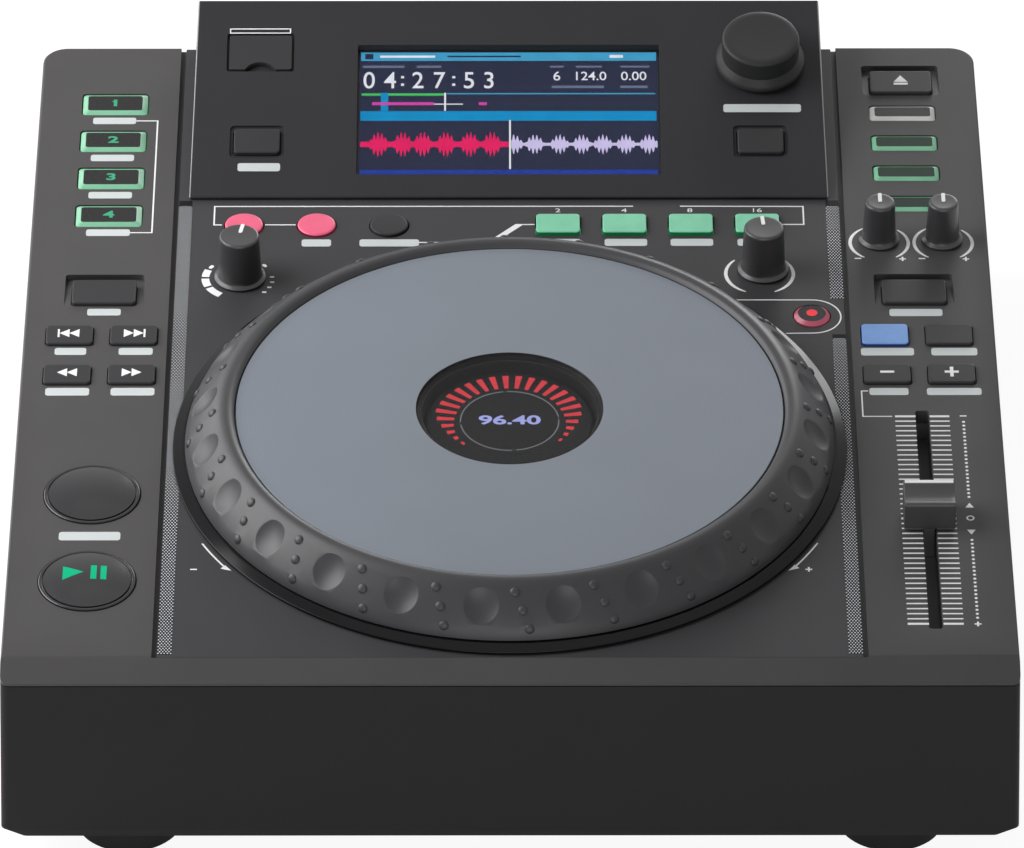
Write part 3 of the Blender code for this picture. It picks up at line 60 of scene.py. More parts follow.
# The deck's frame and the hood's frame, read from the joints of the jog wheel and the browse knob
JOG_ROW = 104.8 * MM
HOOD_ROW = 237.4 * MM
HOOD_FACE_Z = 0.6 * MM
PLATE_LEVEL = -0.6 * MM
JOINTS = {joint["name"]: joint for joint in frame["joints"]}
jog_axis = Vector(JOINTS["jog_wheel_turn"]["axis"])
browse_axis = Vector(JOINTS["browse_knob_turn"]["axis"])
DECK_SLOPE = math.atan2(jog_axis.y, -jog_axis.z)
HOOD_TILT = math.atan2(browse_axis.y, -browse_axis.z) - DECK_SLOPE
DECK = (Matrix.Translation(JOINTS["jog_wheel_turn"]["pos_m"]) @ Matrix.Rotation(DECK_SLOPE, 4, "X")
        @ Matrix.Translation((0.0, -JOG_ROW, 0.0)))
HOOD = DECK @ Matrix.Translation((0.0, HOOD_ROW, HOOD_FACE_Z)) @ Matrix.Rotation(HOOD_TILT, 4, "X")
WORLD = Matrix.Identity(4)
CASE = "case"
BRUSH_MARK = 0.2 * MM


def about(x, y, place=DECK):
    """Returns a local frame moved along its own surface."""
    return place @ Matrix.Translation((x, y, 0.0))


class Value:
    """A shader socket that can stand in a sum."""

    def __init__(self, finish, socket):
        self.finish, self.socket = finish, socket

    def math(self, operation, *others):
        return self.finish.sum_of(operation, self, *others)

    def __add__(self, other):
        return self.math("ADD", other)

    def __mul__(self, other):
        return self.math("MULTIPLY", other)

    __radd__, __rmul__ = __add__, __mul__


class Finish:
    """A material being made: constants go on its Principled shader, patterns are linked to it."""

    def __init__(self, name, colour, roughness, metallic=0.0, **constants):
        self.material = bpy.data.materials.new(name)
        self.material.use_nodes = True
        self.tree = self.material.node_tree
        self.shader = self.tree.nodes["Principled BSDF"]
        self.material.diffuse_color = (*colour, 1.0)
        self.set(self.shader, {"Base Color": (*colour, 1.0), "Roughness": roughness, "Metallic": metallic})
        self.set(self.shader, {name.replace("_", " ").title().replace("Ior", "IOR"): value
                               for name, value in constants.items()})

    def set(self, node, values):
        for name, value in values.items():
            socket = node.inputs[name]
            if isinstance(value, Value):
                self.tree.links.new(value.socket, socket)
            else:
                socket.default_value = value

    def node(self, kind, settings=None, output=0, **values):
        """Adds any node: its settings first, then its sockets, named as in Blender with _ for a space."""
        node = self.tree.nodes.new("ShaderNode" + kind)
        for name, value in (settings or {}).items():
            setattr(node, name, value)
        self.set(node, {name.replace("_", " "): value for name, value in values.items()})
        return Value(self, node.outputs[output])

    def sum_of(self, operation, *terms):
        node = self.tree.nodes.new("ShaderNodeMath")
        node.operation = operation
        for socket, term in zip(node.inputs, terms):
            if isinstance(term, Value):
                self.tree.links.new(term.socket, socket)
            else:
                socket.default_value = term
        return Value(self, node.outputs[0])

    def coordinates(self, place=WORLD):
        """Object coordinates, moved so that a piece's own frame is centred and square."""
        coords = self.node("TexCoord", output="Object")
        if place is WORLD:
            return coords
        inverse = place.inverted()
        return self.node("Mapping", {"vector_type": "POINT"}, Vector=coords,
                         Location=inverse.translation, Rotation=inverse.to_euler())

    def noise(self, size, detail=2.0):
        """Noise whose spots are about a given size across."""
        return self.node("TexNoise", Vector=self.coordinates(), Scale=1.0 / size, Detail=detail)

    def spread(self, value, to_low, to_high, low=0.3, high=0.7):
        """Stretches the middle part of a pattern over a range of values."""
        return self.node("MapRange", Value=value, From_Min=low, From_Max=high, To_Min=to_low, To_Max=to_high)

    def tinted(self, factor, one, two):
        """Mixes two colours by a value."""
        node = self.tree.nodes.new("ShaderNodeMix")
        node.data_type = "RGBA"
        self.tree.links.new(factor.socket, node.inputs[0])
        node.inputs[6].default_value = (*one, 1.0)
        node.inputs[7].default_value = (*two, 1.0)
        return Value(self, node.outputs[2])

    def link(self, **values):
        self.set(self.shader, {name.replace("_", " "): value for name, value in values.items()})
        return self

    def bumped(self, height, depth):
        return self.link(Normal=self.node("Bump", Height=height, Distance=depth, Strength=1.0))


def shade(colour, share):
    return tuple(share * part for part in colour)


def tone(red, green, blue):
    """Turns a tone as a screen shows it, 0 to 255, into the linear colour that a shader takes."""
    return tuple((part / 255.0) ** 2.2 for part in (red, green, blue))


def moulded(name, colour, roughness, grain=0.35 * MM, depth=0.012 * MM, shine=0.5, **constants):
    """Moulded plastic: a fine spark-eroded grain, faint cloudy colour and uneven gloss."""
    finish = Finish(name, colour, roughness, specular_ior_level=shine, **constants)
    clouds = finish.noise(22.0 * MM, 3.0)
    grains = finish.noise(grain, 3.0)
    mixed = clouds * 0.5 + grains * 0.5
    finish.link(Base_Color=finish.tinted(finish.spread(mixed, 0.0, 1.0), shade(colour, 0.94),
                                         shade(colour, 1.06)),
                Roughness=finish.spread(mixed, roughness - 0.04, roughness + 0.05))
    return finish.bumped(grains, depth)


def lit(name, colour, glow, strength, roughness=0.35, **constants):
    """Back-lit translucent plastic: it glows, with a faint cloudy colour and a fine grain."""
    finish = Finish(name, colour, roughness, emission_strength=strength, **constants)
    clouds = finish.noise(6.0 * MM, 2.0)
    factor = finish.spread(clouds, 0.0, 1.0)
    finish.link(Base_Color=finish.tinted(factor, shade(colour, 0.94), shade(colour, 1.04)),
                Emission_Color=finish.tinted(factor, shade(glow, 0.92), shade(glow, 1.06)))
    return finish.bumped(finish.noise(0.4 * MM, 2.0), 0.006 * MM)


def glowing(name, *shown):
    """One colour of a display, which shines at the tone it has in the picture."""
    colour = tone(*shown)
    return lit(name, shade(colour, 0.08), colour, 1.0, roughness=0.5, specular_ior_level=0.04)


def window_finish(name, roughness, alpha):
    """Clear plastic window: it lets most of what lies under it through and keeps a faint smear of its own."""
    finish = Finish(name, (0.012, 0.012, 0.014), roughness, alpha=alpha)
    smears = finish.noise(9.0 * MM, 4.0)
    finish.link(Base_Color=finish.tinted(smears, (0.010, 0.010, 0.012), (0.016, 0.016, 0.018)),
                Roughness=finish.spread(smears, roughness, roughness + 0.05, 0.35, 0.65))
    return finish.bumped(smears, 0.002 * MM)


def turned_finish(name, colour, roughness, metallic, rings, depth, centre=(0.0, JOG_ROW), **constants):
    """A surface with fine concentric tool marks round a centre on the deck, the jog wheel's if not given."""
    finish = Finish(name, colour, roughness, metallic, **constants)
    coords = finish.coordinates(about(*centre))
    x, y = (finish.node("SeparateXYZ", None, axis, Vector=coords) for axis in range(2))
    radius = (x * x + y * y).math("SQRT")
    grooves = finish.node("TexNoise", {"noise_dimensions": "1D"}, 0, W=radius, Scale=1.0 / rings, Detail=2.0)
    clouds = finish.noise(30.0 * MM, 2.0)
    mixed = grooves * 0.6 + clouds * 0.4
    factor = finish.spread(mixed, 0.0, 1.0)
    finish.link(Base_Color=finish.tinted(factor, shade(colour, 0.96), shade(colour, 1.04)),
                Roughness=finish.spread(mixed, roughness - 0.03, roughness + 0.04))
    return finish.bumped(grooves, depth)


def dome_finish(node):
    """Gloss black with spun tool marks about the middle of a dome key."""
    low, high = (DECK.inverted() @ Vector(corner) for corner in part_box(node))
    return turned_finish(node + "_spun_black", (0.014, 0.014, 0.016), 0.20, 0.0, 0.3 * MM, 0.012 * MM,
                         ((low.x + high.x) / 2, (low.y + high.y) / 2), specular_ior_level=0.4)


def metal(name, colour, roughness):
    """Metal with fine brush marks."""
    finish = Finish(name, colour, roughness, 1.0)
    drawn_out = finish.node("Mapping", Vector=finish.coordinates(), Scale=(1.0, 1.0, 12.0))
    lines = finish.node("TexNoise", Vector=drawn_out, Scale=1.0 / BRUSH_MARK, Detail=2.0)
    finish.link(Roughness=finish.spread(lines, roughness - 0.06, roughness + 0.08))
    return finish.bumped(lines, 0.004 * MM)


def board_finish():
    """Green circuit board with faint copper tracks under the lacquer."""
    finish = Finish("circuit_board_green", (0.015, 0.11, 0.05), 0.35)
    coords = finish.coordinates(DECK)
    waves = [finish.node("TexWave", {"bands_direction": axis}, 1, Vector=coords, Scale=60.0, Distortion=3.0,
                         Detail=1.0) for axis in ("X", "Y")]
    tracks = (waves[0] * waves[1]).math("GREATER_THAN", 0.45)
    return finish.link(Base_Color=finish.tinted(tracks, (0.012, 0.09, 0.04), (0.03, 0.20, 0.08)))


LOOKS = {
    "case": moulded("case_moulding", (0.024, 0.023, 0.023), 0.48, shine=0.10),
    "deck": moulded("deck_moulding", (0.080, 0.077, 0.077), 0.46, depth=0.010 * MM, shine=0.10),
    "plate": moulded("plate_lacquer", (0.053, 0.051, 0.054), 0.40, grain=0.2 * MM, depth=0.004 * MM,
                     shine=0.10),
    "hood": moulded("hood_moulding", (0.031, 0.030, 0.033), 0.42, shine=0.10),
    # Hood's side edges: glossier, and painted a lighter grey than the hood, a painted highlight along the
    # edges.
    "hood_edge": moulded("hood_edge_gloss_and_painted_highlight", (0.040, 0.039, 0.042), 0.20, depth=0.002 * MM,
                         shine=1.0, coat_weight=1.0, coat_roughness=0.15),
    "key": moulded("key_moulding", (0.038, 0.038, 0.040), 0.42, grain=0.25 * MM, shine=0.12),
    "knob": moulded("knob_moulding", (0.032, 0.032, 0.034), 0.34, grain=0.25 * MM, shine=0.5),
    "browse": moulded("browse_moulding", (0.024, 0.024, 0.025), 0.45, grain=0.25 * MM, shine=0.2),
    "trim": moulded("trim_moulding", (0.005, 0.005, 0.006), 0.14, depth=0.001 * MM, shine=0.12),
    "inset": moulded("window_black", (0.016, 0.016, 0.017), 0.28, depth=0.002 * MM, shine=0.18),
    "shadow": moulded("dark_moulding", (0.008, 0.008, 0.008), 0.6, shine=0.2),
    "track": moulded("track_moulding", (0.24, 0.235, 0.235), 0.5, shine=0.2),
    "fader": moulded("fader_moulding", (0.050, 0.050, 0.052), 0.42, grain=0.25 * MM, shine=0.4),
    "hub_black": moulded("hub_black", (0.014, 0.014, 0.015), 0.30, depth=0.002 * MM, shine=0.10),
    "rubber": moulded("ring_moulding", (0.035, 0.035, 0.038), 0.42, grain=0.3 * MM, depth=0.010 * MM,
                      shine=0.35),
    "foot": moulded("foot_moulding", (0.020, 0.020, 0.020), 0.75, grain=0.5 * MM, depth=0.03 * MM,
                    shine=0.10),
    "ink": moulded("white_ink", (0.92, 0.92, 0.92), 0.5, depth=0.002 * MM),
    "pill": moulded("pale_label", (0.62, 0.66, 0.66), 0.42, depth=0.002 * MM),
    "green": lit("green_light", tone(96, 170, 136), tone(120, 190, 158), 0.35),
    "green_frame": lit("pale_green_light", tone(112, 168, 136), tone(112, 168, 136), 0.30),
    # Deeper, darker glows on the lower walls of lit keys: painted shade in the gap round each key.
    "green_edge": lit("green_edge_painted_shade", tone(18, 84, 52), tone(16, 100, 58), 0.55),
    "green_window": lit("green_window_black", (0.008, 0.014, 0.010), tone(10, 42, 26), 0.5,
                        specular_ior_level=0.10),
    "pink": lit("pink_light", tone(196, 80, 108), tone(226, 88, 122), 0.40),
    "rose": lit("dim_pink_light", tone(140, 62, 78), tone(168, 74, 94), 0.45),
    # Painted shade on the lower walls of the pink keys.
    "rose_edge": lit("pink_edge_painted_shade", tone(90, 26, 40), tone(110, 30, 46), 0.5),
    "blue": lit("blue_light", tone(84, 120, 172), tone(92, 132, 188), 0.40),
    # Painted shade on the lower walls of the blue key.
    "blue_edge": lit("blue_edge_painted_shade", tone(26, 44, 84), tone(26, 50, 104), 0.5),
    "white_frame": lit("white_light", tone(190, 190, 188), tone(200, 200, 198), 0.20),
    "red_bar": glowing("red_bar_light", 226, 68, 78),
    "hub_digit": glowing("hub_digit_light", 176, 184, 252),
    "hub_line": glowing("hub_line_light", 128, 130, 136),
    "numeral": glowing("numeral_light", 78, 176, 134),
    "play": glowing("play_light", 22, 184, 132),
    "glass": window_finish("screen_clear_window", 0.06, 0.06),
    "hub_glass": window_finish("hub_clear_window", 0.08, 0.16),
    "mesh_knot": moulded("mesh_knot_grey", (0.78, 0.81, 0.86), 0.40, depth=0.002 * MM),
    # Dark band under the mesh knots: painted shade for the recess behind the mesh.
    "mesh_ground": moulded("mesh_ground_painted_shade", (0.006, 0.006, 0.007), 0.6, depth=0.002 * MM, shine=0.1),
    "screen_ground": glowing("screen_night", 42, 46, 68),
    "screen_header": glowing("screen_sky", 65, 155, 197),
    "screen_bar": glowing("screen_blue", 2, 137, 196),
    "screen_red": glowing("screen_crimson", 224, 32, 96),
    "screen_lilac": glowing("screen_lilac", 200, 190, 230),
    "screen_white": glowing("screen_white", 226, 229, 236),
    "screen_dim": glowing("screen_slate", 104, 112, 138),
    "screen_green": glowing("screen_green", 70, 190, 96),
    "screen_magenta": glowing("screen_magenta", 206, 70, 170),
    "screen_deep": glowing("screen_deep_blue", 34, 60, 150),
    "platter": turned_finish("platter_lacquer", (0.215, 0.238, 0.275), 0.38, 0.10, 0.35 * MM, 0.003 * MM,
                              specular_ior_level=0.2),
    "steel": metal("bright_steel", (0.60, 0.60, 0.61), 0.3),
    "brass": metal("gilt_contact", (0.80, 0.60, 0.28), 0.28),
    "board": board_finish(),
    "cue_key": dome_finish("cue_key"),
    "play_key": dome_finish("play_key"),
}


def alone(thing):
    bpy.ops.object.select_all(action="DESELECT")
    thing.select_set(True)
    bpy.context.view_layer.objects.active = thing
    return thing


def applied(thing):
    """Puts an object's place, turn and size into its mesh."""
    alone(thing)
    bpy.ops.object.transform_apply(location=True, rotation=True, scale=True)
    return thing


def named(name):
    thing = bpy.context.active_object
    thing.name = name
    return thing


def editing(thing, kind, test):
    """Enters edit mode with the faces, edges or vertices selected that pass a test."""
    alone(thing)
    bpy.ops.object.mode_set(mode="EDIT")
    bpy.ops.mesh.select_mode(type=kind)
    bpy.ops.mesh.select_all(action="DESELECT")
    bpy.ops.object.mode_set(mode="OBJECT")
    mesh = thing.data
    parts = {"FACE": mesh.polygons, "EDGE": mesh.edges, "VERT": mesh.vertices}[kind]
    for part in parts:
        part.select = test(part)
    bpy.ops.object.mode_set(mode="EDIT")


def done_editing():
    bpy.ops.object.mode_set(mode="OBJECT")


def box(low, high, name="box"):
    """Adds a block between two corners."""
    low, high = Vector(low), Vector(high)
    bpy.ops.mesh.primitive_cube_add(size=1.0, location=(low + high) / 2)
    thing = named(name)
    thing.scale = high - low
    return applied(thing)


def upright(thing):
    """Returns a test that finds the edges that run along z."""
    points = thing.data.vertices

    def test(edge):
        one, two = (points[i].co for i in edge.vertices)
        return (one - two).xy.length < MERGE
    return test


def beside(x, y, *steps):
    """Returns the points that lie some steps, in millimetres, away from a corner."""
    return [(x + right * MM, y + up * MM) for right, up in steps]


def faces_up(level):
    """Returns a test that finds the faces that look up at a level."""
    return lambda face: face.normal.z > 0.9 and abs(face.center.z - level) < 0.02 * MM


def rounded_box(low, high, corner, segments=6, name="box"):
    """Adds a block with its four upright edges rounded."""
    thing = box(low, high, name)
    editing(thing, "EDGE", upright(thing))
    bpy.ops.mesh.bevel(offset=corner, offset_pct=0, segments=segments, affect="EDGES")
    done_editing()
    return thing


def drum(x, y, radius, low, high, sides=48, name="drum"):
    bpy.ops.mesh.primitive_cylinder_add(vertices=sides, radius=radius, depth=high - low,
                                        location=(x, y, (low + high) / 2))
    return applied(named(name))


def line(points, closed=False, name="line"):
    """Draws a line of edges, one vertex extruded after another."""
    points = [Vector(point) for point in points]
    bpy.ops.mesh.primitive_plane_add(size=OVERRUN, location=points[0])
    thing = named(name)
    bpy.ops.object.mode_set(mode="EDIT")
    bpy.ops.mesh.select_mode(type="VERT")
    bpy.ops.mesh.select_all(action="SELECT")
    bpy.ops.mesh.merge(type="CENTER")
    for one, two in zip(points, points[1:]):
        bpy.ops.mesh.extrude_vertices_move(TRANSFORM_OT_translate={"value": two - one})
    if closed:
        done_editing()
        last = len(points) - 1
        editing(thing, "VERT", lambda vert: vert.index in (0, last))
        bpy.ops.mesh.edge_face_add()
    done_editing()
    return applied(thing)


def healed(thing):
    """Merges doubled points and turns all faces outwards."""
    editing(thing, "VERT", lambda vert: True)
    bpy.ops.mesh.remove_doubles(threshold=MERGE)
    bpy.ops.mesh.delete_loose(use_verts=True, use_edges=True, use_faces=False)
    bpy.ops.mesh.select_all(action="SELECT")
    bpy.ops.mesh.normals_make_consistent(inside=False)
    done_editing()
    return thing


def lathe(profile, steps=96, centre=(0.0, 0.0), name="turned", angle=TURN, start=0.0):
    """Spins a closed profile of (radius, height) points round an upright axis."""
    points = [(radius * math.cos(start), radius * math.sin(start), height) for radius, height in profile]
    on_axis = profile[0][0] == 0.0 and profile[-1][0] == 0.0
    thing = line(points, closed=not on_axis, name=name)
    editing(thing, "EDGE", lambda edge: True)
    if angle < TURN:
        bpy.ops.mesh.edge_face_add()
    bpy.ops.mesh.spin(steps=steps, angle=angle, center=(0.0, 0.0, 0.0), axis=(0.0, 0.0, 1.0))
    done_editing()
    healed(thing)
    thing.location = (*centre, 0.0)
    return applied(thing)


def extruded(points, shift, name):
    """Fills a closed line of points and extrudes the face by a shift."""
    thing = line(points, closed=True, name=name)
    editing(thing, "EDGE", lambda edge: True)
    bpy.ops.mesh.edge_face_add()
    bpy.ops.mesh.extrude_region_move(TRANSFORM_OT_translate={"value": shift})
    done_editing()
    return healed(thing)


def prism(outline, low, high):
    """Fills an outline of (x, y) points and extrudes it upwards."""
    return extruded([(x, y, low) for x, y in outline], (0.0, 0.0, high - low), "prism")


def across(section, left, right, name="prism"):
    """Fills a section of (y, z) points and extrudes it along x."""
    return extruded([(left, y, z) for y, z in section], (right - left, 0.0, 0.0), name)


def stepped(low, high, steps):
    """Draws the selected top face up and in, step by step, by (inwards, upwards) pairs."""
    centre, half = (low + high) / 2, (high - low) / 2
    for inward, up in steps:
        bpy.ops.mesh.extrude_region_move(TRANSFORM_OT_translate={"value": (0.0, 0.0, up)})
        if inward:
            share = (1.0 - inward / half.x, 1.0 - inward / half.y, 1.0)
            bpy.ops.transform.resize(value=share, center_override=centre)
            half -= Vector((inward, inward, 0.0))


def joined(things, name=None):
    """Joins objects into the first one, each keeping its own materials."""
    things = [thing for thing in things if thing]
    alone(things[0])
    for thing in things:
        thing.select_set(True)
    if len(things) > 1:
        bpy.ops.object.join()
    if name:
        things[0].name = name
    return things[0]


def modified(thing, kind, **settings):
    """Adds a modifier and applies it."""
    alone(thing)
    modifier = thing.modifiers.new(kind.lower(), kind)
    for name, value in settings.items():
        setattr(modifier, name, value)
    bpy.ops.object.modifier_apply(modifier=modifier.name)
    return thing


def combined(thing, tools, operation="DIFFERENCE"):
    tool = joined(tools) if isinstance(tools, list) else tools
    modified(thing, "BOOLEAN", object=tool, operation=operation, solver="EXACT")
    bpy.data.objects.remove(tool)
    return thing


def softened(thing, width, segments=2, angle=30.0):
    """Rounds every sharp edge."""
    return modified(thing, "BEVEL", width=width, segments=segments, limit_method="ANGLE",
                    angle_limit=math.radians(angle), use_clamp_overlap=True, harden_normals=False)


def copied(thing, matrix):
    """Copies an object with its own mesh and moves the copy."""
    alone(thing)
    bpy.ops.object.duplicate(linked=False)
    copy = bpy.context.active_object
    copy.matrix_world = matrix @ copy.matrix_world
    return applied(copy)


def painted(thing, look, test=None):
    """Gives a finish to the whole object, or to the faces that pass a test."""
    material = LOOKS[look].material
    if test is None:
        thing.data.materials.clear()
        thing.data.materials.append(material)
        return thing
    names = [slot.name for slot in thing.data.materials]
    if material.name not in names:
        thing.data.materials.append(material)
        names.append(material.name)
    editing(thing, "FACE", test)
    thing.active_material_index = names.index(material.name)
    bpy.ops.object.material_slot_assign()
    done_editing()
    return thing


def reach(node, place):
    """Returns the lowest and the highest corner of a CAD node in a local frame."""
    inverse = place.inverted()
    points = [inverse @ vert.co for vert in frame["nodes"][node].data.vertices]
    return [Vector(choose(point[i] for point in points) for i in range(3)) for choose in (min, max)]


def middle(node, place):
    low, high = reach(node, place)
    return (low + high) / 2


def fitted(thing, place, body, slot, *nodes, smooth=35.0):
    """Moves a finished piece to its frame, smooths it and hands it to the body that carries it."""
    thing.matrix_world = place @ thing.matrix_world
    applied(thing)
    bpy.ops.object.shade_smooth_by_angle(angle=math.radians(smooth))
    modified(thing, "WEIGHTED_NORMAL", keep_sharp=True)
    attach(thing, body)
    if nodes:
        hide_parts(*nodes)
    return thing


# Sizes that the pieces share with each other
CASE_HALF = 153.0 * MM
PLATE_HALF = 106.1 * MM
PANEL_INNER = 107.7 * MM
COLUMN_X = 128.36 * MM
DECK_LENGTH = 323.75 * MM
TOP_WALL = 4.8 * MM
RECESS_DEPTH = 1.8 * MM
PLATE_THICKNESS = 0.9 * MM
PLATE_FRONT = 0.6 * MM
CHAMFER_LENGTH = 9.0 * MM
CHAMFER_DROP = 4.0 * MM
TOP_EDGE_CUT = 1.0 * MM
REAR_CORNER = 8.0 * MM
FRONT_CORNER = 2.5 * MM
WELL_RADIUS = 92.0 * MM
KEY_FLANGE = 1.0 * MM
KEY_FLANGE_THICKNESS = 1.5 * MM
KEY_CORNER = 1.2 * MM
BUSH_RADIUS = 3.8 * MM
FADER_SLOT_WIDTH = 4.3 * MM
FADER_SLOT_ENDS = (12.5 * MM, 122.7 * MM)
HOOD_OPENING = (91.9 * MM, 242.0 * MM, 316.0 * MM)
HOOD_HALF = 102.9 * MM
SCOOPED_KEYS = ("reverse_key", "eject_key", "jog_mode_key")
SCOOP_DEPTH = 2.0 * MM
SCOOP_SIDE = 2.4 * MM
SCOOP_REAR = 4.5 * MM
LOOP_KEYS = ("loop_in_key", "loop_out_key", "reloop_key")
AUTO_LOOP_KEYS = tuple(f"auto_loop_key_{beats}" for beats in (2, 4, 8, 16))
HOT_CUE_KEYS = tuple(f"hot_cue_key_{number}" for number in (1, 2, 3, 4))
SOURCE_KEYS = tuple(f"source_key_{number}" for number in (1, 2, 3))
PAIR_KEYS = ("track_back_key", "track_forward_key", "search_back_key", "search_forward_key",
             "bend_minus_key", "bend_plus_key")
DOME_KEYS = ("cue_key", "play_key")
SIDE_KEYS = (*HOT_CUE_KEYS, *SOURCE_KEYS, *PAIR_KEYS, *DOME_KEYS, *SCOOPED_KEYS, "settings_key",
             "key_lock_key", "tap_key")
HOOD_KEYS = ("shift_key", "back_key")
CENTRE_KEYS = (*LOOP_KEYS, *AUTO_LOOP_KEYS, "slip_key")
ROUND_KEYS = (*LOOP_KEYS, *DOME_KEYS, "slip_key")
DECK_KNOBS = ("jog_weight_knob", "filter_knob", "start_time_knob", "stop_time_knob")


def cap_of(node, place):
    """Returns the corners of a key's cap, without the flange under the panel."""
    low, high = reach(node, place)
    inset = Vector((KEY_FLANGE, KEY_FLANGE, 0.0))
    return low + inset, high - inset


def key_hole(node, place, low, high):
    """Makes the cutter of a key's opening."""
    cap_low, cap_high = cap_of(node, place)
    if node in ROUND_KEYS:
        centre = (cap_low + cap_high) / 2
        radius = (cap_high.x - cap_low.x) / 2 + GAP
        return drum(centre.x, centre.y, radius, low, high, 64)
    room = Vector((GAP, GAP, 0.0))
    cap_low, cap_high = cap_low - room, cap_high + room
    return rounded_box((*cap_low.xy, low), (*cap_high.xy, high), KEY_CORNER + GAP, 5)


def panel_cutters(keys, low, high):
    tools = [key_hole(node, DECK, low, high) for node in keys]
    for node in DECK_KNOBS:
        centre = middle(node, DECK)
        tools.append(drum(centre.x, centre.y, BUSH_RADIUS, low, high, 32))
    tools.append(drum(0.0, JOG_ROW, WELL_RADIUS, low, high, 192))
    half, front, rear = HOOD_OPENING
    tools.append(box((-half, front, low), (half, rear, high)))
    return tools


def scoop(node):
    """Makes the cutter of the finger scoop behind a key, with rounded upright edges."""
    low, high = cap_of(node, DECK)
    front, rear = low.y, high.y + SCOOP_REAR
    section = [(front, 0.0), (rear, -SCOOP_DEPTH), (rear, OVERRUN), (front, OVERRUN)]
    tool = across(section, low.x - SCOOP_SIDE, high.x + SCOOP_SIDE)
    editing(tool, "EDGE", upright(tool))
    bpy.ops.mesh.bevel(offset=SCOOP_SIDE / 2, segments=5, affect="EDGES")
    done_editing()
    return tool


def with_case_corners(thing):
    """Rounds the case's upright edges, more at the rear than in front."""
    for rear, corner, segments in ((True, REAR_CORNER, 10), (False, FRONT_CORNER, 5)):
        stands = upright(thing)
        points = thing.data.vertices
        at_rear = [points[edge.vertices[0]].co.y > 0.0 for edge in thing.data.edges]
        editing(thing, "EDGE", lambda edge: stands(edge) and at_rear[edge.index] == rear)
        bpy.ops.mesh.bevel(offset=corner, segments=segments, affect="EDGES")
        done_editing()
    return thing


def sliced(thing, place, normal):
    """Cuts away what lies on one side of a plane and closes the cut."""
    editing(thing, "FACE", lambda face: True)
    bpy.ops.mesh.bisect(plane_co=place, plane_no=Vector(normal).normalized(), threshold=MERGE,
                        clear_outer=True, use_fill=True)
    done_editing()
    return thing


def make_upper_case():
    """Upper case: two side panels, a sunk middle, a sloping front band and its openings."""
    thing = box((-CASE_HALF, -CHAMFER_LENGTH, -TOP_WALL), (CASE_HALF, DECK_LENGTH, 0.0), "upper_case")
    with_case_corners(thing)
    points = thing.data.vertices
    editing(thing, "EDGE", lambda edge: all(abs(points[i].co.z) < MERGE for i in edge.vertices))
    bpy.ops.mesh.bevel(offset=TOP_EDGE_CUT, segments=3, affect="EDGES")
    done_editing()
    sliced(thing, (0.0, 0.0, 0.0), (0.0, -CHAMFER_DROP, CHAMFER_LENGTH))
    combined(thing, box((-PANEL_INNER, -PLATE_FRONT - GAP, -RECESS_DEPTH),
                        (PANEL_INNER, DECK_LENGTH + OVERRUN, OVERRUN)))
    combined(thing, [scoop(node) for node in SCOOPED_KEYS])
    low, high = -TOP_WALL - OVERRUN, OVERRUN
    tools = panel_cutters(SIDE_KEYS + CENTRE_KEYS, low, high)
    front, rear = FADER_SLOT_ENDS
    half = FADER_SLOT_WIDTH / 2
    tools.append(rounded_box((COLUMN_X - half, front, low), (COLUMN_X + half, rear, high), half / 2, 4))
    combined(thing, tools)
    softened(thing, 0.3 * MM, 2)
    painted(thing, "deck")
    fitted(thing, DECK, CASE, "deck_plastic", "top_case")


def make_centre_panel():
    low, high = PLATE_LEVEL - PLATE_THICKNESS, PLATE_LEVEL
    thing = box((-PLATE_HALF, -PLATE_FRONT, low), (PLATE_HALF, DECK_LENGTH - GAP, high), "centre_panel")
    combined(thing, panel_cutters(CENTRE_KEYS, low - OVERRUN, OVERRUN))
    softened(thing, 0.2 * MM, 2)
    painted(thing, "plate")
    fitted(thing, DECK, CASE, "plate_finish", "centre_plate")


CASE_WALL = 2.5 * MM
FOOT_CUT_WIDTH = 5.3 * MM
FOOT_CUT_HEIGHT = 2.6 * MM
FOOT_CUT_DEPTH = 0.4 * MM           # how far the same cut goes in at the front and the rear


def make_lower_case():
    """Lower case: a tray with leaning sides, rounded corners and a cut lower edge."""
    low, high = (Vector(corner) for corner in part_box("base_shell"))
    foot = low.z + FOOT_CUT_HEIGHT
    thing = box((-CASE_HALF, low.y, foot), (CASE_HALF, high.y, high.z + OVERRUN), "lower_case")
    with_case_corners(thing)
    sliced(thing, DECK @ Vector((0.0, 0.0, -TOP_WALL - GAP)), DECK.to_3x3() @ Vector((0.0, 0.0, 1.0)))
    editing(thing, "FACE", lambda face: face.normal.z > 0.9)
    bpy.ops.mesh.inset(thickness=CASE_WALL, depth=0.0)
    bpy.ops.mesh.extrude_region_move(TRANSFORM_OT_translate={"value": (0.0, 0.0, -CASE_WALL)})
    bpy.ops.transform.resize(value=(1.0, 1.0, 0.0), center_override=(0.0, 0.0, foot))
    done_editing()
    middle_y = (low.y + high.y) / 2
    flare = high.x / CASE_HALF
    cut = ((high.x - FOOT_CUT_WIDTH) / high.x, 1.0 - 2 * FOOT_CUT_DEPTH / (high.y - low.y), 1.0)
    editing(thing, "FACE", lambda face: face.normal.z < -0.9)
    bpy.ops.transform.resize(value=(flare, 1.0, 1.0), center_override=(0.0, middle_y, foot))
    bpy.ops.mesh.extrude_region_move(TRANSFORM_OT_translate={"value": (0.0, 0.0, -FOOT_CUT_HEIGHT)})
    bpy.ops.transform.resize(value=cut, center_override=(0.0, middle_y, low.z))
    done_editing()
    softened(thing, 0.4 * MM, 2, 20.0)
    painted(thing, "case")
    fitted(thing, WORLD, CASE, "case_plastic", "base_shell")


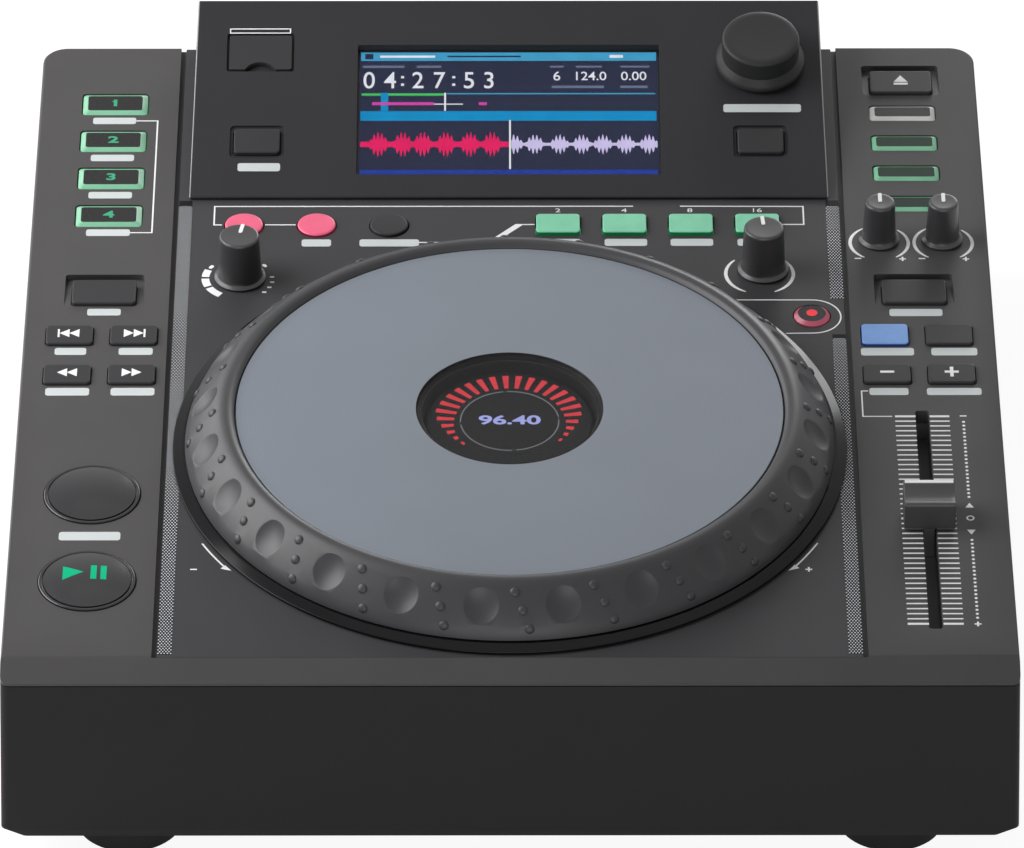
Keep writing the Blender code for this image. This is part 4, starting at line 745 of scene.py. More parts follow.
def make_trim_ring():
    """Fixed gloss ring round the jog wheel."""
    low, high = reach("jog_surround", DECK)
    outer = (high.x - low.x) / 2
    band, edge, slope = 10.9 * MM, 0.8 * MM, 3.2 * MM
    profile = [(outer - band, low.z), (outer, low.z), (outer, low.z + edge), (outer - slope, high.z),
               (outer - band, high.z)]
    thing = lathe(profile, 192, (0.0, JOG_ROW), "jog_trim_ring")
    softened(thing, 0.25 * MM, 3, 10.0)
    painted(thing, "trim")
    fitted(thing, DECK, CASE, "gloss_black", "jog_surround")


RING_PROFILE = ((100.5, 1.9), (100.2, 3.5), (98.9, 6.2), (95.4, 10.2), (91.6, 14.0), (89.8, 15.3),
                (88.5, 15.85), (87.5, 16.0), (86.4, 15.8), (85.5, 15.2), (84.95, 14.3), (84.95, 11.7),
                (87.5, 11.7), (97.0, 1.9))
DIMPLES = 24
DIMPLE_LENGTH = 12.6 * MM
DIMPLE_WIDTH = 11.7 * MM
DIMPLE_DEPTH = 1.35 * MM
DIMPLE_PLACE = (0.56, 9.75)          # share of the way up the flank, degrees past a step of the pattern
BUMP_PLACES = ((0.79, 0.9), (0.49, 2.3), (0.19, 3.4))
BUMP_RADIUS = 1.5 * MM
BUMP_RISE = 0.46


def up_flank(share):
    """Returns the place at a share of the way up the ring's outer flank."""
    points = [Vector((radius, 0.0, height)) * MM for radius, height in RING_PROFILE[:7]]
    lengths = [(two - one).length for one, two in zip(points, points[1:])]
    left = share * sum(lengths)
    for one, two, length in zip(points, points[1:], lengths):
        if left <= length:
            return one.lerp(two, left / length)
        left -= length
    return points[-1]


def on_flank(share, angle, span):
    """Returns a frame on the flank: its own y up the slope, z outwards; the slope is taken over a span."""
    run = (up_flank(share + span) - up_flank(share - span)).normalized()
    normal = Vector((run.z, 0.0, -run.x))
    turn = Matrix((run.cross(normal), run, normal)).transposed().to_4x4()
    return Matrix.Rotation(math.radians(angle), 4, "Z") @ Matrix.Translation(up_flank(share)) @ turn


def make_jog_ring():
    """Rubber ring of the jog wheel, with finger dimples and rows of small bumps between them."""
    profile = [(radius * MM, height * MM) for radius, height in RING_PROFILE]
    ring = lathe(profile, 240, name="jog_grip_ring")
    bowl_radius = (DIMPLE_WIDTH * DIMPLE_WIDTH / 4 + DIMPLE_DEPTH * DIMPLE_DEPTH) / (2 * DIMPLE_DEPTH)
    bpy.ops.mesh.primitive_uv_sphere_add(segments=48, ring_count=48, radius=bowl_radius)
    bowl = named("bowl")
    bowl.location = (0.0, 0.0, bowl_radius - DIMPLE_DEPTH)
    applied(bowl)
    bowl.scale = (1.0, DIMPLE_LENGTH / DIMPLE_WIDTH, 1.0)
    applied(bowl)
    editing(bowl, "FACE", lambda face: True)
    bpy.ops.mesh.bisect(plane_co=(0.0, 0.0, MM), plane_no=(0.0, 0.0, 1.0), clear_outer=True, use_fill=True)
    done_editing()
    step = 360.0 / DIMPLES
    share, offset = DIMPLE_PLACE
    bowls = [copied(bowl, on_flank(share, i * step + offset, 0.25)) for i in range(DIMPLES)]
    bpy.data.objects.remove(bowl)
    combined(ring, bowls)
    bpy.ops.mesh.primitive_uv_sphere_add(segments=20, ring_count=10, radius=BUMP_RADIUS)
    bump = named("bump")
    bump.scale = (1.0, 1.0, BUMP_RISE)
    applied(bump)
    bumps = [copied(bump, on_flank(share, i * step + offset, 0.04))
             for i in range(DIMPLES) for share, offset in BUMP_PLACES]
    bpy.data.objects.remove(bump)
    combined(ring, bumps, "UNION")
    painted(ring, "rubber")
    fitted(ring, about(0.0, JOG_ROW), "jog_wheel", "ring_rubber", "jog_ring", smooth=28.0)


HUB_RADIUS = 28.5 * MM


def make_platter():
    """Platter: a satin disc with a rounded rim, and the black cup under its clear window."""
    low, high = reach("jog_platter", DECK)
    outer = (high.x - low.x) / 2
    foot, top = 11.7 * MM, high.z
    cup, wall, ledge = 27.0 * MM, 2.0 * MM, 12.7 * MM
    cup_floor = 6.6 * MM
    sleeve = 14.3 * MM
    profile = [(sleeve, low.z), (sleeve + 3.2 * MM, low.z), (sleeve + 3.2 * MM, cup_floor - wall),
               (cup + wall, cup_floor - wall), (cup + wall, foot), (outer, foot), (outer, top),
               (HUB_RADIUS + GAP, top), (HUB_RADIUS + GAP, ledge), (cup, ledge), (cup, cup_floor),
               (sleeve, cup_floor)]
    thing = lathe(profile, 160, name="jog_disc")
    softened(thing, 0.35 * MM, 3, 40.0)
    painted(thing, "platter")
    painted(thing, "shadow", lambda face: face.center.xy.length < HUB_RADIUS + 0.6 * MM
            and (face.normal.z < 0.9 or face.center.z < top - MM))
    fitted(thing, about(0.0, JOG_ROW), "jog_wheel", "platter_satin", "jog_platter")


HUB_BARS = 25
HUB_BAR_STEP = 10.45                # degrees
HUB_BAR_FIRST = 218.6
HUB_LINE = (15.0 * MM, 15.4 * MM)
HUB_LINE_GAP = math.radians(5.0)


def make_hub():
    """Clear window in the platter, and the fixed centre display under it."""
    spot = about(0.0, JOG_ROW)
    low, high = reach("jog_window", DECK)
    glass = drum(0.0, 0.0, HUB_RADIUS, low.z, high.z, 96, "hub_glass")
    softened(glass, 0.3 * MM, 3)
    painted(glass, "hub_glass")
    fitted(glass, spot, "jog_wheel", "clear_window", "jog_window")
    low, high = reach("jog_display", DECK)
    disc = drum(0.0, 0.0, (high.x - low.x) / 2, low.z, high.z, 96, "hub_display")
    softened(disc, 0.3 * MM, 2)
    painted(disc, "hub_black")
    top = high.z
    bars = []
    short = ((18.0, 18.9), (18.0, 19.4), (17.8, 20.2), (17.4, 21.2), (17.1, 22.5))
    for i in range(HUB_BARS):
        nearer = min(i, HUB_BARS - 1 - i)
        inner, outer = short[nearer] if nearer < len(short) else (16.9, 23.4)
        slim, broad = inner * 0.036, outer * 0.043
        bar = flat([(inner * MM, -slim * MM), (outer * MM, -broad * MM), (outer * MM, broad * MM),
                    (inner * MM, slim * MM)], top, "red_bar")
        bar.matrix_world = Matrix.Rotation(math.radians(HUB_BAR_FIRST - i * HUB_BAR_STEP), 4, "Z")
        bars.append(applied(bar))
    bars.append(numeral("96.40", 0.0, 0.2 * MM, 6.2 * MM, top, "hub_digit", 1.4, 0.025))
    rings = []
    inner, outer = HUB_LINE
    section = [(inner, top - SINK), (outer, top - SINK), (outer, top + MARK), (inner, top + MARK)]
    for quarter in range(4):
        arc = lathe(section, 20, angle=TURN / 4 - HUB_LINE_GAP, start=quarter * TURN / 4 + HUB_LINE_GAP / 2)
        rings.append(painted(arc, "hub_line"))
    disc = joined([disc] + bars + rings, "hub_display")
    fitted(disc, spot, CASE, "screen_module", "jog_display")


FRAME_DROP = 0.85 * MM
WINDOW_STEP = 0.08 * MM


def make_cap(node, place, look, slot, frame_look=None, frame_width=1.7 * MM, shaded_edge_look=None, extras=None):
    """Makes a rectangular key: its flange, then a cap with a rounded edge or with a lit frame."""
    low, high = reach(node, place)
    flange_top = low.z + KEY_FLANGE_THICKNESS
    edge = 0.5 * MM
    thing = rounded_box(low, (high.x, high.y, flange_top), KEY_CORNER + KEY_FLANGE, 6, node + "_cap")
    editing(thing, "FACE", faces_up(flange_top))
    bpy.ops.mesh.inset(thickness=KEY_FLANGE, depth=0.0)
    cap_low, cap_high = cap_of(node, place)
    if frame_look:
        foot = high.z - FRAME_DROP - 0.2 * MM
        stepped(cap_low, cap_high, [(0.0, foot - flange_top), (0.15 * MM, 0.2 * MM),
                                    (frame_width - 0.15 * MM, FRAME_DROP), (WINDOW_STEP, -WINDOW_STEP)])
    else:
        stepped(cap_low, cap_high, [(0.0, high.z - edge - flange_top), (edge * 0.13, edge * 0.5),
                                    (edge * 0.32, edge * 0.35), (edge * 0.55, edge * 0.15)])
    done_editing()
    painted(thing, frame_look or look)
    if frame_look:
        painted(thing, look, faces_up(high.z - WINDOW_STEP))
    # Painted shade: the cap's lower walls, in the gap round the key, get a deeper, darker look.
    if shaded_edge_look:
        brim = high.z - (FRAME_DROP if frame_look else edge / 2)
        painted(thing, shaded_edge_look, lambda face: face.center.z < brim and face.normal.z < 0.99)
    if extras:
        thing = joined([thing] + extras, thing.name)
    return fitted(thing, place, node, slot, node)


def numeral(text, x, y, height, level, look, stretch=1.0, bold=0.0):
    """Makes a plain number lying on a surface, stretched sideways or made bolder if asked."""
    bpy.ops.object.text_add(location=(x, y, level - SINK))
    thing = named("numeral")
    thing.data.body = text
    thing.data.align_x = "CENTER"
    thing.data.align_y = "CENTER"
    thing.data.size = height
    thing.data.extrude = (SINK + MARK) / 2
    thing.data.offset = height * bold
    thing.scale.x = stretch
    bpy.ops.object.convert(target="MESH")
    thing = bpy.context.active_object
    thing.location.z += (SINK + MARK) / 2
    return painted(healed(applied(thing)), look)


def block(x, y, width, depth, level, look="ink", turn=0.0, rise=MARK):
    """Makes a flat printed bar about a centre."""
    thing = box((-width / 2, -depth / 2, level - SINK), (width / 2, depth / 2, level + rise))
    thing.matrix_world = Matrix.Translation((x, y, 0.0)) @ Matrix.Rotation(turn, 4, "Z")
    return painted(applied(thing), look)


def flat(outline, level, look="ink", rise=MARK):
    return painted(prism(outline, level - SINK, level + rise), look)


def stroke(points, width, level):
    """Makes a printed line through points, square at its ends and mitred at its bends."""
    points = [Vector(point) for point in points]
    left, right = [], []
    for i, point in enumerate(points):
        before = (point - points[i - 1]).normalized() if i else (points[1] - point).normalized()
        after = (points[i + 1] - point).normalized() if i + 1 < len(points) else before
        along = (before + after).normalized()
        side = Vector((-along.y, along.x)) * (width / 2 / max(0.2, along.dot(before)))
        left.append(point + side)
        right.append(point - side)
    return flat([tuple(point) for point in right + left[::-1]], level)


def arc_points(centre, radius, start, end, steps):
    """Returns points along an arc between two angles in degrees."""
    angles = [math.radians(start + (end - start) * i / steps) for i in range(steps + 1)]
    return [(centre[0] + radius * math.cos(angle), centre[1] + radius * math.sin(angle)) for angle in angles]


def pill(x, y, width, depth, level):
    """Makes a blank label with rounded ends."""
    low = (x - width / 2, y - depth / 2, level - SINK)
    high = (x + width / 2, y + depth / 2, level + MARK)
    return painted(rounded_box(low, high, depth * 0.24, 5), "pill")


def triangle(x, y, width, depth, level):
    """Makes a triangle that points along +x, or along -x with a negative width."""
    half = width / 2
    corners = [(x - half, y - depth / 2), (x + half, y), (x - half, y + depth / 2)]
    if width < 0:
        corners = corners[::-1]
    return flat(corners, level)


def double_arrow(x, y, side, level, bar=False):
    """Makes two triangles in a row, with a bar at their tip if asked."""
    width, depth = 3.1 * MM, 4.2 * MM
    marks = [triangle(x + shift * width, y, side * width, depth, level) for shift in (-0.5, 0.5)]
    if bar:
        marks.append(block(x + side * 3.4 * MM, y, 0.6 * MM, depth, level))
    return marks


def key_marks(node, centre, level):
    """Makes the pictogram of a key: skip and search arrows, a minus, a plus or the eject sign."""
    x, y = centre.x, centre.y + 0.5 * MM
    if node in ("track_back_key", "track_forward_key", "search_back_key", "search_forward_key"):
        return double_arrow(x, y, 1 if "forward" in node else -1, level, bar=node.startswith("track"))
    if node in ("bend_minus_key", "bend_plus_key"):
        marks = [block(x, y, 4.4 * MM, 1.1 * MM, level)]
        if node == "bend_plus_key":
            marks += [block(x, y + side * 1.55 * MM, 1.1 * MM, 2.0 * MM, level) for side in (-1, 1)]
        return marks
    if node == "eject_key":
        half = 2.3 * MM
        return [flat([(x - half, y - 0.9 * MM), (x + half, y - 0.9 * MM), (x, y + 2.9 * MM)], level),
                block(x, y - 1.95 * MM, 2 * half, 1.1 * MM, level)]
    return []


def make_panel_keys():
    """Makes the rectangular keys of the deck and the hood."""
    for i, node in enumerate(HOT_CUE_KEYS):
        low, high = cap_of(node, DECK)
        centre = (low + high) / 2
        number = numeral(str(i + 1), centre.x, centre.y, 5.0 * MM, high.z - WINDOW_STEP, "numeral", 1.4, 0.03)
        marks = [number]
        if i == 0:
            marks.append(block(centre.x - 0.55 * MM, centre.y + 1.15 * MM, 0.9 * MM, 0.5 * MM,
                               high.z - WINDOW_STEP, "numeral", 0.5))
        make_cap(node, DECK, "inset", "green_lit_key", "green_frame", shaded_edge_look="green_edge", extras=marks)
    for node in SOURCE_KEYS:
        make_cap(node, DECK, "green_window", "key_plastic", "green_frame", 1.4 * MM, "green_edge")
    make_cap("settings_key", DECK, "inset", "key_plastic", "white_frame", 1.45 * MM)
    for node in AUTO_LOOP_KEYS:
        make_cap(node, DECK, "green", "green_lit_key", shaded_edge_look="green_edge")
    make_cap("key_lock_key", DECK, "blue", "blue_lit_key", shaded_edge_look="blue_edge")
    for place, nodes in ((DECK, ("tap_key", *PAIR_KEYS, *SCOOPED_KEYS)), (HOOD, HOOD_KEYS)):
        for node in nodes:
            low, high = cap_of(node, place)
            make_cap(node, place, "key", "key_plastic", extras=key_marks(node, (low + high) / 2, high.z))


def key_foot(low, radius):
    """Returns the lower part of a round key's profile: its flange under the panel."""
    flange, flange_top = radius + KEY_FLANGE, low.z + KEY_FLANGE_THICKNESS
    return [(0.0, low.z), (flange, low.z), (flange, flange_top), (radius, flange_top)]


def make_round_key(node, look, slot, ring_look=None, shaded_edge_look=None):
    """Makes a round key with a slightly domed top, or a sloping lit ring round a dark middle."""
    low, high = reach(node, DECK)
    radius = (high.x - low.x) / 2 - KEY_FLANGE
    top = high.z
    profile = key_foot(low, radius)
    if ring_look:
        inner, floor = radius * 0.775, top - 0.1 * MM
        profile += beside(radius, top, (0.0, -1.15), (-0.12, -0.95))
        profile += [(inner, top), (inner - 0.1 * MM, floor), (inner * 0.5, floor), (0.0, floor)]
    else:
        profile += beside(radius, top, (0.0, -0.55), (-0.12, -0.3), (-0.4, -0.12), (-0.9, -0.04))
        profile += [(radius * 0.5, top), (0.0, top)]
    thing = lathe(profile, 64, name=node + "_cap")
    painted(thing, ring_look or look)
    # Painted shade: the key's lower walls, in the gap round it, get a deeper, darker look.
    if shaded_edge_look:
        painted(thing, shaded_edge_look, lambda face: face.center.z < top - 0.5 * MM and face.normal.z < 0.3)
    if ring_look:
        painted(thing, look, lambda face: face.center.xy.length < inner and face.center.z > top - 0.2 * MM)
        dot = drum(0.0, 0.3 * MM, 1.75 * MM, top - 0.1 * MM - SINK, top - 0.05 * MM, 32)
        thing = joined([thing, painted(dot, "red_bar")], thing.name)
    centre = (low + high) / 2
    fitted(thing, about(centre.x, centre.y), node, slot, node)


def make_dome_keys():
    """Makes the large round cue and play keys: a dark rim, a groove and a gloss dome."""
    for node in DOME_KEYS:
        low, high = reach(node, DECK)
        radius = (high.x - low.x) / 2 - KEY_FLANGE
        top = high.z
        rim = 0.5 * MM
        profile = key_foot(low, radius) + beside(radius, rim, (0.0, -0.25), (-0.15, -0.08), (-0.4, 0.0),
                                                 (-0.85, 0.0), (-1.0, -0.1), (-1.05, -0.5), (-1.35, -0.5),
                                                 (-1.45, 0.1))
        dome_radius, crown = radius - 1.45 * MM, top - rim - 0.1 * MM
        steps = 10
        for i in range(1, steps + 1):
            share = 1.0 - i / steps
            profile.append((dome_radius * share, rim + 0.1 * MM + crown * (1.0 - share * share)))
        thing = lathe(profile, 96, name=node + "_cap")
        painted(thing, node)
        centre = (low + high) / 2
        marks = []
        if node == "play_key":
            rise, reach_up = 2.0 * MM, 3.45 * MM
            arrow = [(-7.4 * MM, rise - reach_up), (-1.1 * MM, rise), (-7.4 * MM, rise + reach_up)]
            marks = [prism(arrow, rim, top + MM)]
            marks += [box((x * MM, rise - reach_up, rim), ((x + 1.8) * MM, rise + reach_up, top + MM))
                      for x in (1.1, 4.1)]
            for mark in marks:
                combined(mark, copied(thing, Matrix.Translation((0.0, 0.0, MARK))), "INTERSECT")
                painted(mark, "play")
            thing = joined([thing] + marks, thing.name)
        fitted(thing, about(centre.x, centre.y), node, "gloss_black", node)


KNOB_BORE_RADIUS = 3.3 * MM
KNOB_BORE_DEPTH = 9.0 * MM
BROWSE_BORE_TOP = 10.4 * MM


def make_knobs():
    """Makes the four deck knobs, each with a pointer line on its top."""
    for node, pointer in zip(DECK_KNOBS, (-10.0, 5.0, 0.0, 0.0)):
        low, high = reach(node, DECK)
        foot_radius = (high.x - low.x) / 2
        radius = foot_radius - 1.25 * MM
        top = high.z
        bore_top = low.z + KNOB_BORE_DEPTH
        profile = [(KNOB_BORE_RADIUS, low.z),
                   *beside(foot_radius, low.z, (-0.2, 0.0), (0.0, 0.2), (0.0, 0.5), (-0.25, 0.75)),
                   *beside(radius, low.z, (0.45, 1.1), (0.15, 1.5), (0.0, 2.6)),
                   *beside(radius, top, (-0.5, -1.0), (-0.62, -0.45), (-0.9, -0.12), (-1.3, 0.0),
                           (-1.9, -0.08)),
                   (0.0, top - 0.2 * MM), (0.0, bore_top), (KNOB_BORE_RADIUS, bore_top)]
        thing = lathe(profile, 72, name=node + "_turned")
        painted(thing, "knob")
        inner, outer, half = radius - 5.4 * MM, radius - 0.7 * MM, 0.6 * MM
        pointer_line = rounded_box((-half, inner, top - 0.5 * MM), (half, outer, top + MARK), half * 0.8, 4)
        thing = joined([thing, painted(pointer_line, "ink")], thing.name)
        thing.matrix_world = Matrix.Rotation(math.radians(pointer), 4, "Z")
        applied(thing)
        centre = (low + high) / 2
        fitted(thing, about(centre.x, centre.y), node, "knob_plastic", node)


def make_browse_knob():
    """Makes the plain round knob on the hood."""
    low, high = reach("browse_knob", HOOD)
    foot_radius = (high.x - low.x) / 2
    radius, top = foot_radius - 1.9 * MM, high.z - 0.2 * MM
    profile = [(KNOB_BORE_RADIUS, low.z),
               *beside(foot_radius, low.z, (-0.3, 0.0), (0.0, 0.3), (0.0, 1.2), (-0.5, 2.0)),
               (radius, low.z + 3.9 * MM),
               *beside(radius, top, (0.0, -1.2), (-0.3, -0.6), (-0.9, -0.2), (-2.1, 0.0), (-3.0, -0.1)),
               (0.0, top - 0.35 * MM), (0.0, BROWSE_BORE_TOP), (KNOB_BORE_RADIUS, BROWSE_BORE_TOP)]
    thing = lathe(profile, 96, name="browse_knob_turned")
    painted(thing, "browse")
    centre = (low + high) / 2
    fitted(thing, about(centre.x, centre.y, HOOD), "browse_knob", "knob_plastic", "browse_knob")


def make_fader_cap():
    """Makes the fader's cap: two ridges and a hollow between them, with a white line across it."""
    low, high = reach("fader_cap", DECK)
    centre = (low + high) / 2
    half_x, half_y = 7.85 * MM, 6.9 * MM
    foot, top, saddle = 0.5 * MM, high.z, 1.8 * MM
    rear = beside(half_y, foot, (-0.5, 0.0), (0.0, 1.5)) + beside(half_y, top, (-0.35, -0.9), (-0.7, -0.3),
                                                                  (-1.2, 0.0))
    front = [(-y, z) for y, z in rear[::-1]]
    steps = 12
    shares = [1.0 - 2.0 * i / steps for i in range(steps + 1)]
    hollow = [((half_y - 1.9 * MM) * share, top - saddle * (1.0 - share * share)) for share in shares]
    thing = across(rear + hollow + front, -half_x, half_x, "fader_cap_moulding")
    softened(thing, 0.35 * MM, 3, 50.0)
    painted(thing, "fader")
    mark = painted(box((0.4 * MM - half_x, half_y - 2.2 * MM, top - 0.6 * MM),
                       (half_x - 0.4 * MM, half_y - 0.9 * MM, top + MARK)), "ink")
    stem = box((-1.7 * MM, -4.8 * MM, low.z), (1.7 * MM, 4.8 * MM, foot + SINK))
    thing = joined([thing, mark, painted(stem, "steel")], "fader_cap_moulding")
    fitted(thing, about(centre.x, centre.y), "fader_cap", "knob_plastic", "fader_cap")


HOOD_WALL = 2.6 * MM
KEY_SEAT = (1.3 * MM, 1.8 * MM, 0.8 * MM)       # room beside a key, room at its ends, depth
FLAP_SEAT = (0.75 * MM, 1.0 * MM, 1.7 * MM)     # room beside and in front of the flap, room behind it, depth
FLAP_MOUTH = (6.5 * MM, 3.0 * MM)               # half width and half depth of the way through the wall
FLAP_NOTCH_RADIUS = 5.4 * MM
FLAP_NOTCH_DEPTH = 3.2 * MM


def make_hood():
    """Display hood: a hollow wedge with a screen opening, key trays and the flap's recess."""
    low, high = reach("display_hood", DECK)
    top_half = HOOD_HALF - 1.15 * MM
    rear_top, top = high.y, high.z
    lean = (top - low.z) * math.tan(DECK_SLOPE)
    section = [(HOOD_ROW, low.z), (rear_top - lean, low.z), (rear_top, top), (HOOD_ROW, HOOD_FACE_Z)]
    thing = across(section, -HOOD_HALF, HOOD_HALF, "hood_cover")
    editing(thing, "VERT", lambda vert: vert.co.z > top - MM)
    bpy.ops.transform.resize(value=(top_half / HOOD_HALF, 1.0, 1.0))
    done_editing()
    softened(thing, 1.2 * MM, 4, 60.0)
    wall = HOOD_WALL
    slope = math.tan(HOOD_TILT)
    depth = wall / math.cos(HOOD_TILT)
    rear = rear_top - lean - wall
    floor = low.z - OVERRUN
    start = HOOD_ROW + (floor - HOOD_FACE_Z + depth) / slope
    combined(thing, across([(start, floor), (rear, HOOD_FACE_Z - depth + (rear - HOOD_ROW) * slope),
                            (rear, floor)], wall - top_half, top_half - wall))
    to_hood = DECK.inverted() @ HOOD
    seats = []
    side, end, depth = KEY_SEAT
    for node in HOOD_KEYS:
        cap_low, cap_high = cap_of(node, HOOD)
        seats.append(rounded_box((cap_low.x - side, cap_low.y - end, -depth),
                                 (cap_high.x + side, cap_high.y + end, OVERRUN), 1.6 * MM, 5))
    flap_low, flap_high = reach("stick_flap", HOOD)
    side, end, depth = FLAP_SEAT
    seats.append(rounded_box((flap_low.x - side, flap_low.y - side, -depth),
                             (flap_high.x + side, flap_high.y + end, OVERRUN), 0.9 * MM, 4))
    holes = [key_hole(node, HOOD, -wall - OVERRUN, OVERRUN) for node in HOOD_KEYS]
    win_low, win_high = reach("screen_window", HOOD)
    holes.append(rounded_box((win_low.x - GAP, win_low.y - GAP, -wall - OVERRUN),
                             (win_high.x + GAP, win_high.y + GAP, OVERRUN), 0.6 * MM, 4))
    knob = middle("browse_knob", HOOD)
    holes.append(drum(knob.x, knob.y, BUSH_RADIUS, -wall - OVERRUN, OVERRUN, 32))
    flap = (flap_low + flap_high) / 2
    half_x, half_y = FLAP_MOUTH
    holes.append(box((flap.x - half_x, flap.y - half_y, -wall - OVERRUN),
                     (flap.x + half_x, flap.y + half_y, OVERRUN)))
    for tools in (seats, holes):
        tool = joined(tools)
        tool.matrix_world = to_hood
        combined(thing, applied(tool))
    softened(thing, 0.2 * MM, 2, 50.0)
    painted(thing, "hood")
    # Painted highlight: the bevelled side edges get a lighter, glossier finish than the rest of the hood.
    painted(thing, "hood_edge", lambda face: 0.15 < abs(face.normal.x) < 0.97
            and abs(face.center.x) > top_half - 2.0 * MM)
    fitted(thing, DECK, CASE, "hood_plastic", "display_hood")


def make_flap():
    """Flap over the memory stick socket, notched for a finger at its front."""
    low, high = reach("stick_flap", HOOD)
    centre = (low + high) / 2
    thing = rounded_box(low, high, 0.8 * MM, 4, "stick_flap_cover")
    combined(thing, drum(centre.x, low.y - FLAP_NOTCH_RADIUS + FLAP_NOTCH_DEPTH, FLAP_NOTCH_RADIUS,
                         low.z - OVERRUN, high.z + OVERRUN, 64))
    softened(thing, 0.2 * MM, 2)
    painted(thing, "key")
    fitted(thing, HOOD, "stick_flap", "key_plastic", "stick_flap")


def make_screen():
    """Main display: dark panel with a generic picture in light, under a clear window."""
    low, high = reach("screen_window", HOOD)
    glass = box(low, high, "screen_glass")
    softened(glass, 0.3 * MM, 3)
    painted(glass, "glass")
    fitted(glass, HOOD, CASE, "clear_window", "screen_window")
    low, high = reach("screen_module", HOOD)
    panel = box(low, high, "screen_panel")
    softened(panel, 0.3 * MM, 2)
    painted(panel, "inset")
    fitted(panel, HOOD, CASE, "screen_module", "screen_module")
    make_screen_picture(high.z)


def make_feet():
    """Four round rubber feet, each with a hollow in its underside."""
    for name in ("foot_front_left", "foot_front_right", "foot_rear_left", "foot_rear_right"):
        low, high = (Vector(corner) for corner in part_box(name))
        centre = (low + high) / 2
        radius = (high.x - low.x) / 2
        tip = radius - 1.0 * MM
        profile = [(0.0, low.z + 0.4 * MM), (tip * 0.6, low.z + 0.4 * MM), (tip * 0.65, low.z),
                   (tip - 0.5 * MM, low.z), (tip, low.z + 0.5 * MM), (radius - 0.3 * MM, high.z - 0.8 * MM),
                   (radius, high.z - 0.4 * MM), (radius, high.z), (0.0, high.z)]
        thing = lathe(profile, 64, (centre.x, centre.y), name + "_rubber")
        painted(thing, "foot")
        fitted(thing, WORLD, CASE, "foot_rubber", name)


REAR_ROW_Z = 40.0 * MM
# Each socket's place along x, then its cavity's width, height and depth
INLET = (-112.0 * MM, 24.0 * MM, 16.0 * MM, 15.0 * MM)
NETWORK = (22.0 * MM, 12.0 * MM, 8.5 * MM, 13.0 * MM)
PHONO_PLACES = (60.0 * MM, 80.0 * MM, 100.0 * MM)
PHONO_BARREL = 4.6 * MM
PHONO_BORE = 2.2 * MM
NETWORK_CONTACTS = 8
CONTACT_PITCH = 1.03 * MM


def make_rear_sockets():
    """Rear sockets: mains inlet with bright pins, network socket with gilt contacts, gilt phono barrels."""
    source = frame["nodes"]["rear_connectors"]
    thing = bpy.data.objects.new("rear_sockets", source.data.copy())
    bpy.context.collection.objects.link(thing)
    editing(thing, "VERT", lambda vert: True)
    bpy.ops.mesh.remove_doubles(threshold=MERGE)
    done_editing()
    face_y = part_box("base_shell")[1][1]
    painted(thing, "shadow")
    x, width, height, depth = INLET

    def on_pin(face):
        place = face.center
        return (abs(place.x - x) < width / 2 - MM and abs(place.z - REAR_ROW_Z) < height / 2 - MM
                and place.y > face_y - depth + 2 * MM)

    def on_barrel(face):
        place = face.center
        near = min(math.hypot(place.x - px, place.z - REAR_ROW_Z) for px in PHONO_PLACES)
        return place.y > face_y and PHONO_BORE < near < PHONO_BARREL

    painted(thing, "steel", on_pin)
    painted(thing, "brass", on_barrel)
    x, width, height, depth = NETWORK
    roof = REAR_ROW_Z + height / 2
    contact = box((x - 3.8 * MM, face_y - depth, roof - 1.5 * MM),
                  (x - 3.4 * MM, face_y - 3.0 * MM, roof - 1.0 * MM))
    softened(contact, 0.08 * MM, 1)
    contacts = repeated(painted(contact, "brass"), NETWORK_CONTACTS, CONTACT_PITCH, 0.0)
    fitted(joined([thing, contacts], "rear_sockets"), WORLD, CASE, "key_plastic", "rear_connectors")


def finish_inner_nodes():
    """Gives the CAD nodes that stay their own finishes."""
    looks = {"control_board": "board", "hood_board": "board", "fader_track": "track", "jog_bearing": "steel",
             "browse_shaft": "steel", "power_switch": "key"}
    for node, look in looks.items():
        for slot in frame["nodes"][node].material_slots:
            slot.material = LOOKS[look].material


def drawn(points, width, level):
    """Draws a line whose points and width are given in millimetres."""
    return stroke([(x * MM, y * MM) for x, y in points], width * MM, level)


def filled(points, level):
    """Fills an outline whose points are given in millimetres."""
    return flat([(x * MM, y * MM) for x, y in points], level)


def crescent(x, y, radius, start, end, width, level, tip=0.25, steps=18):
    """Draws an arc that is broad in its middle and slim at its ends; sizes are in millimetres."""
    outer, inner = [], []
    for i in range(steps + 1):
        share = math.sin(math.pi * i / steps) ** 0.5
        half = width / 2 * (tip + (1.0 - tip) * share)
        angle = math.radians(start + (end - start) * i / steps)
        for reach_out, points in ((radius + half, outer), (radius - half, inner)):
            points.append(((x + reach_out * math.cos(angle)) * MM, (y + reach_out * math.sin(angle)) * MM))
    return flat(outer + inner[::-1], level)


def repeated(thing, count, x, y):
    """Repeats a small mark in a row."""
    return modified(thing, "ARRAY", count=count, use_relative_offset=False, use_constant_offset=True,
                    constant_offset_displace=(x, y, 0.0))


def labels(level, *sizes):
    """Makes blank labels, each given by its centre, width and depth in millimetres."""
    return [pill(x * MM, y * MM, width * MM, depth * MM, level) for x, y, width, depth in sizes]


def signs(level, places):
    """Makes small minus and plus signs."""
    marks = []
    for x, y, plus in places:
        marks.append(block(x * MM, y * MM, 2.1 * MM, 0.55 * MM, level))
        if plus:
            marks += [block(x * MM, (y + side * 0.7) * MM, 0.6 * MM, 0.85 * MM, level) for side in (-1, 1)]
    return marks


def printed(marks, name, slot, place=DECK):
    """Joins the marks on one surface and gives them to the case."""
    return fitted(joined(marks, name), place, CASE, slot)


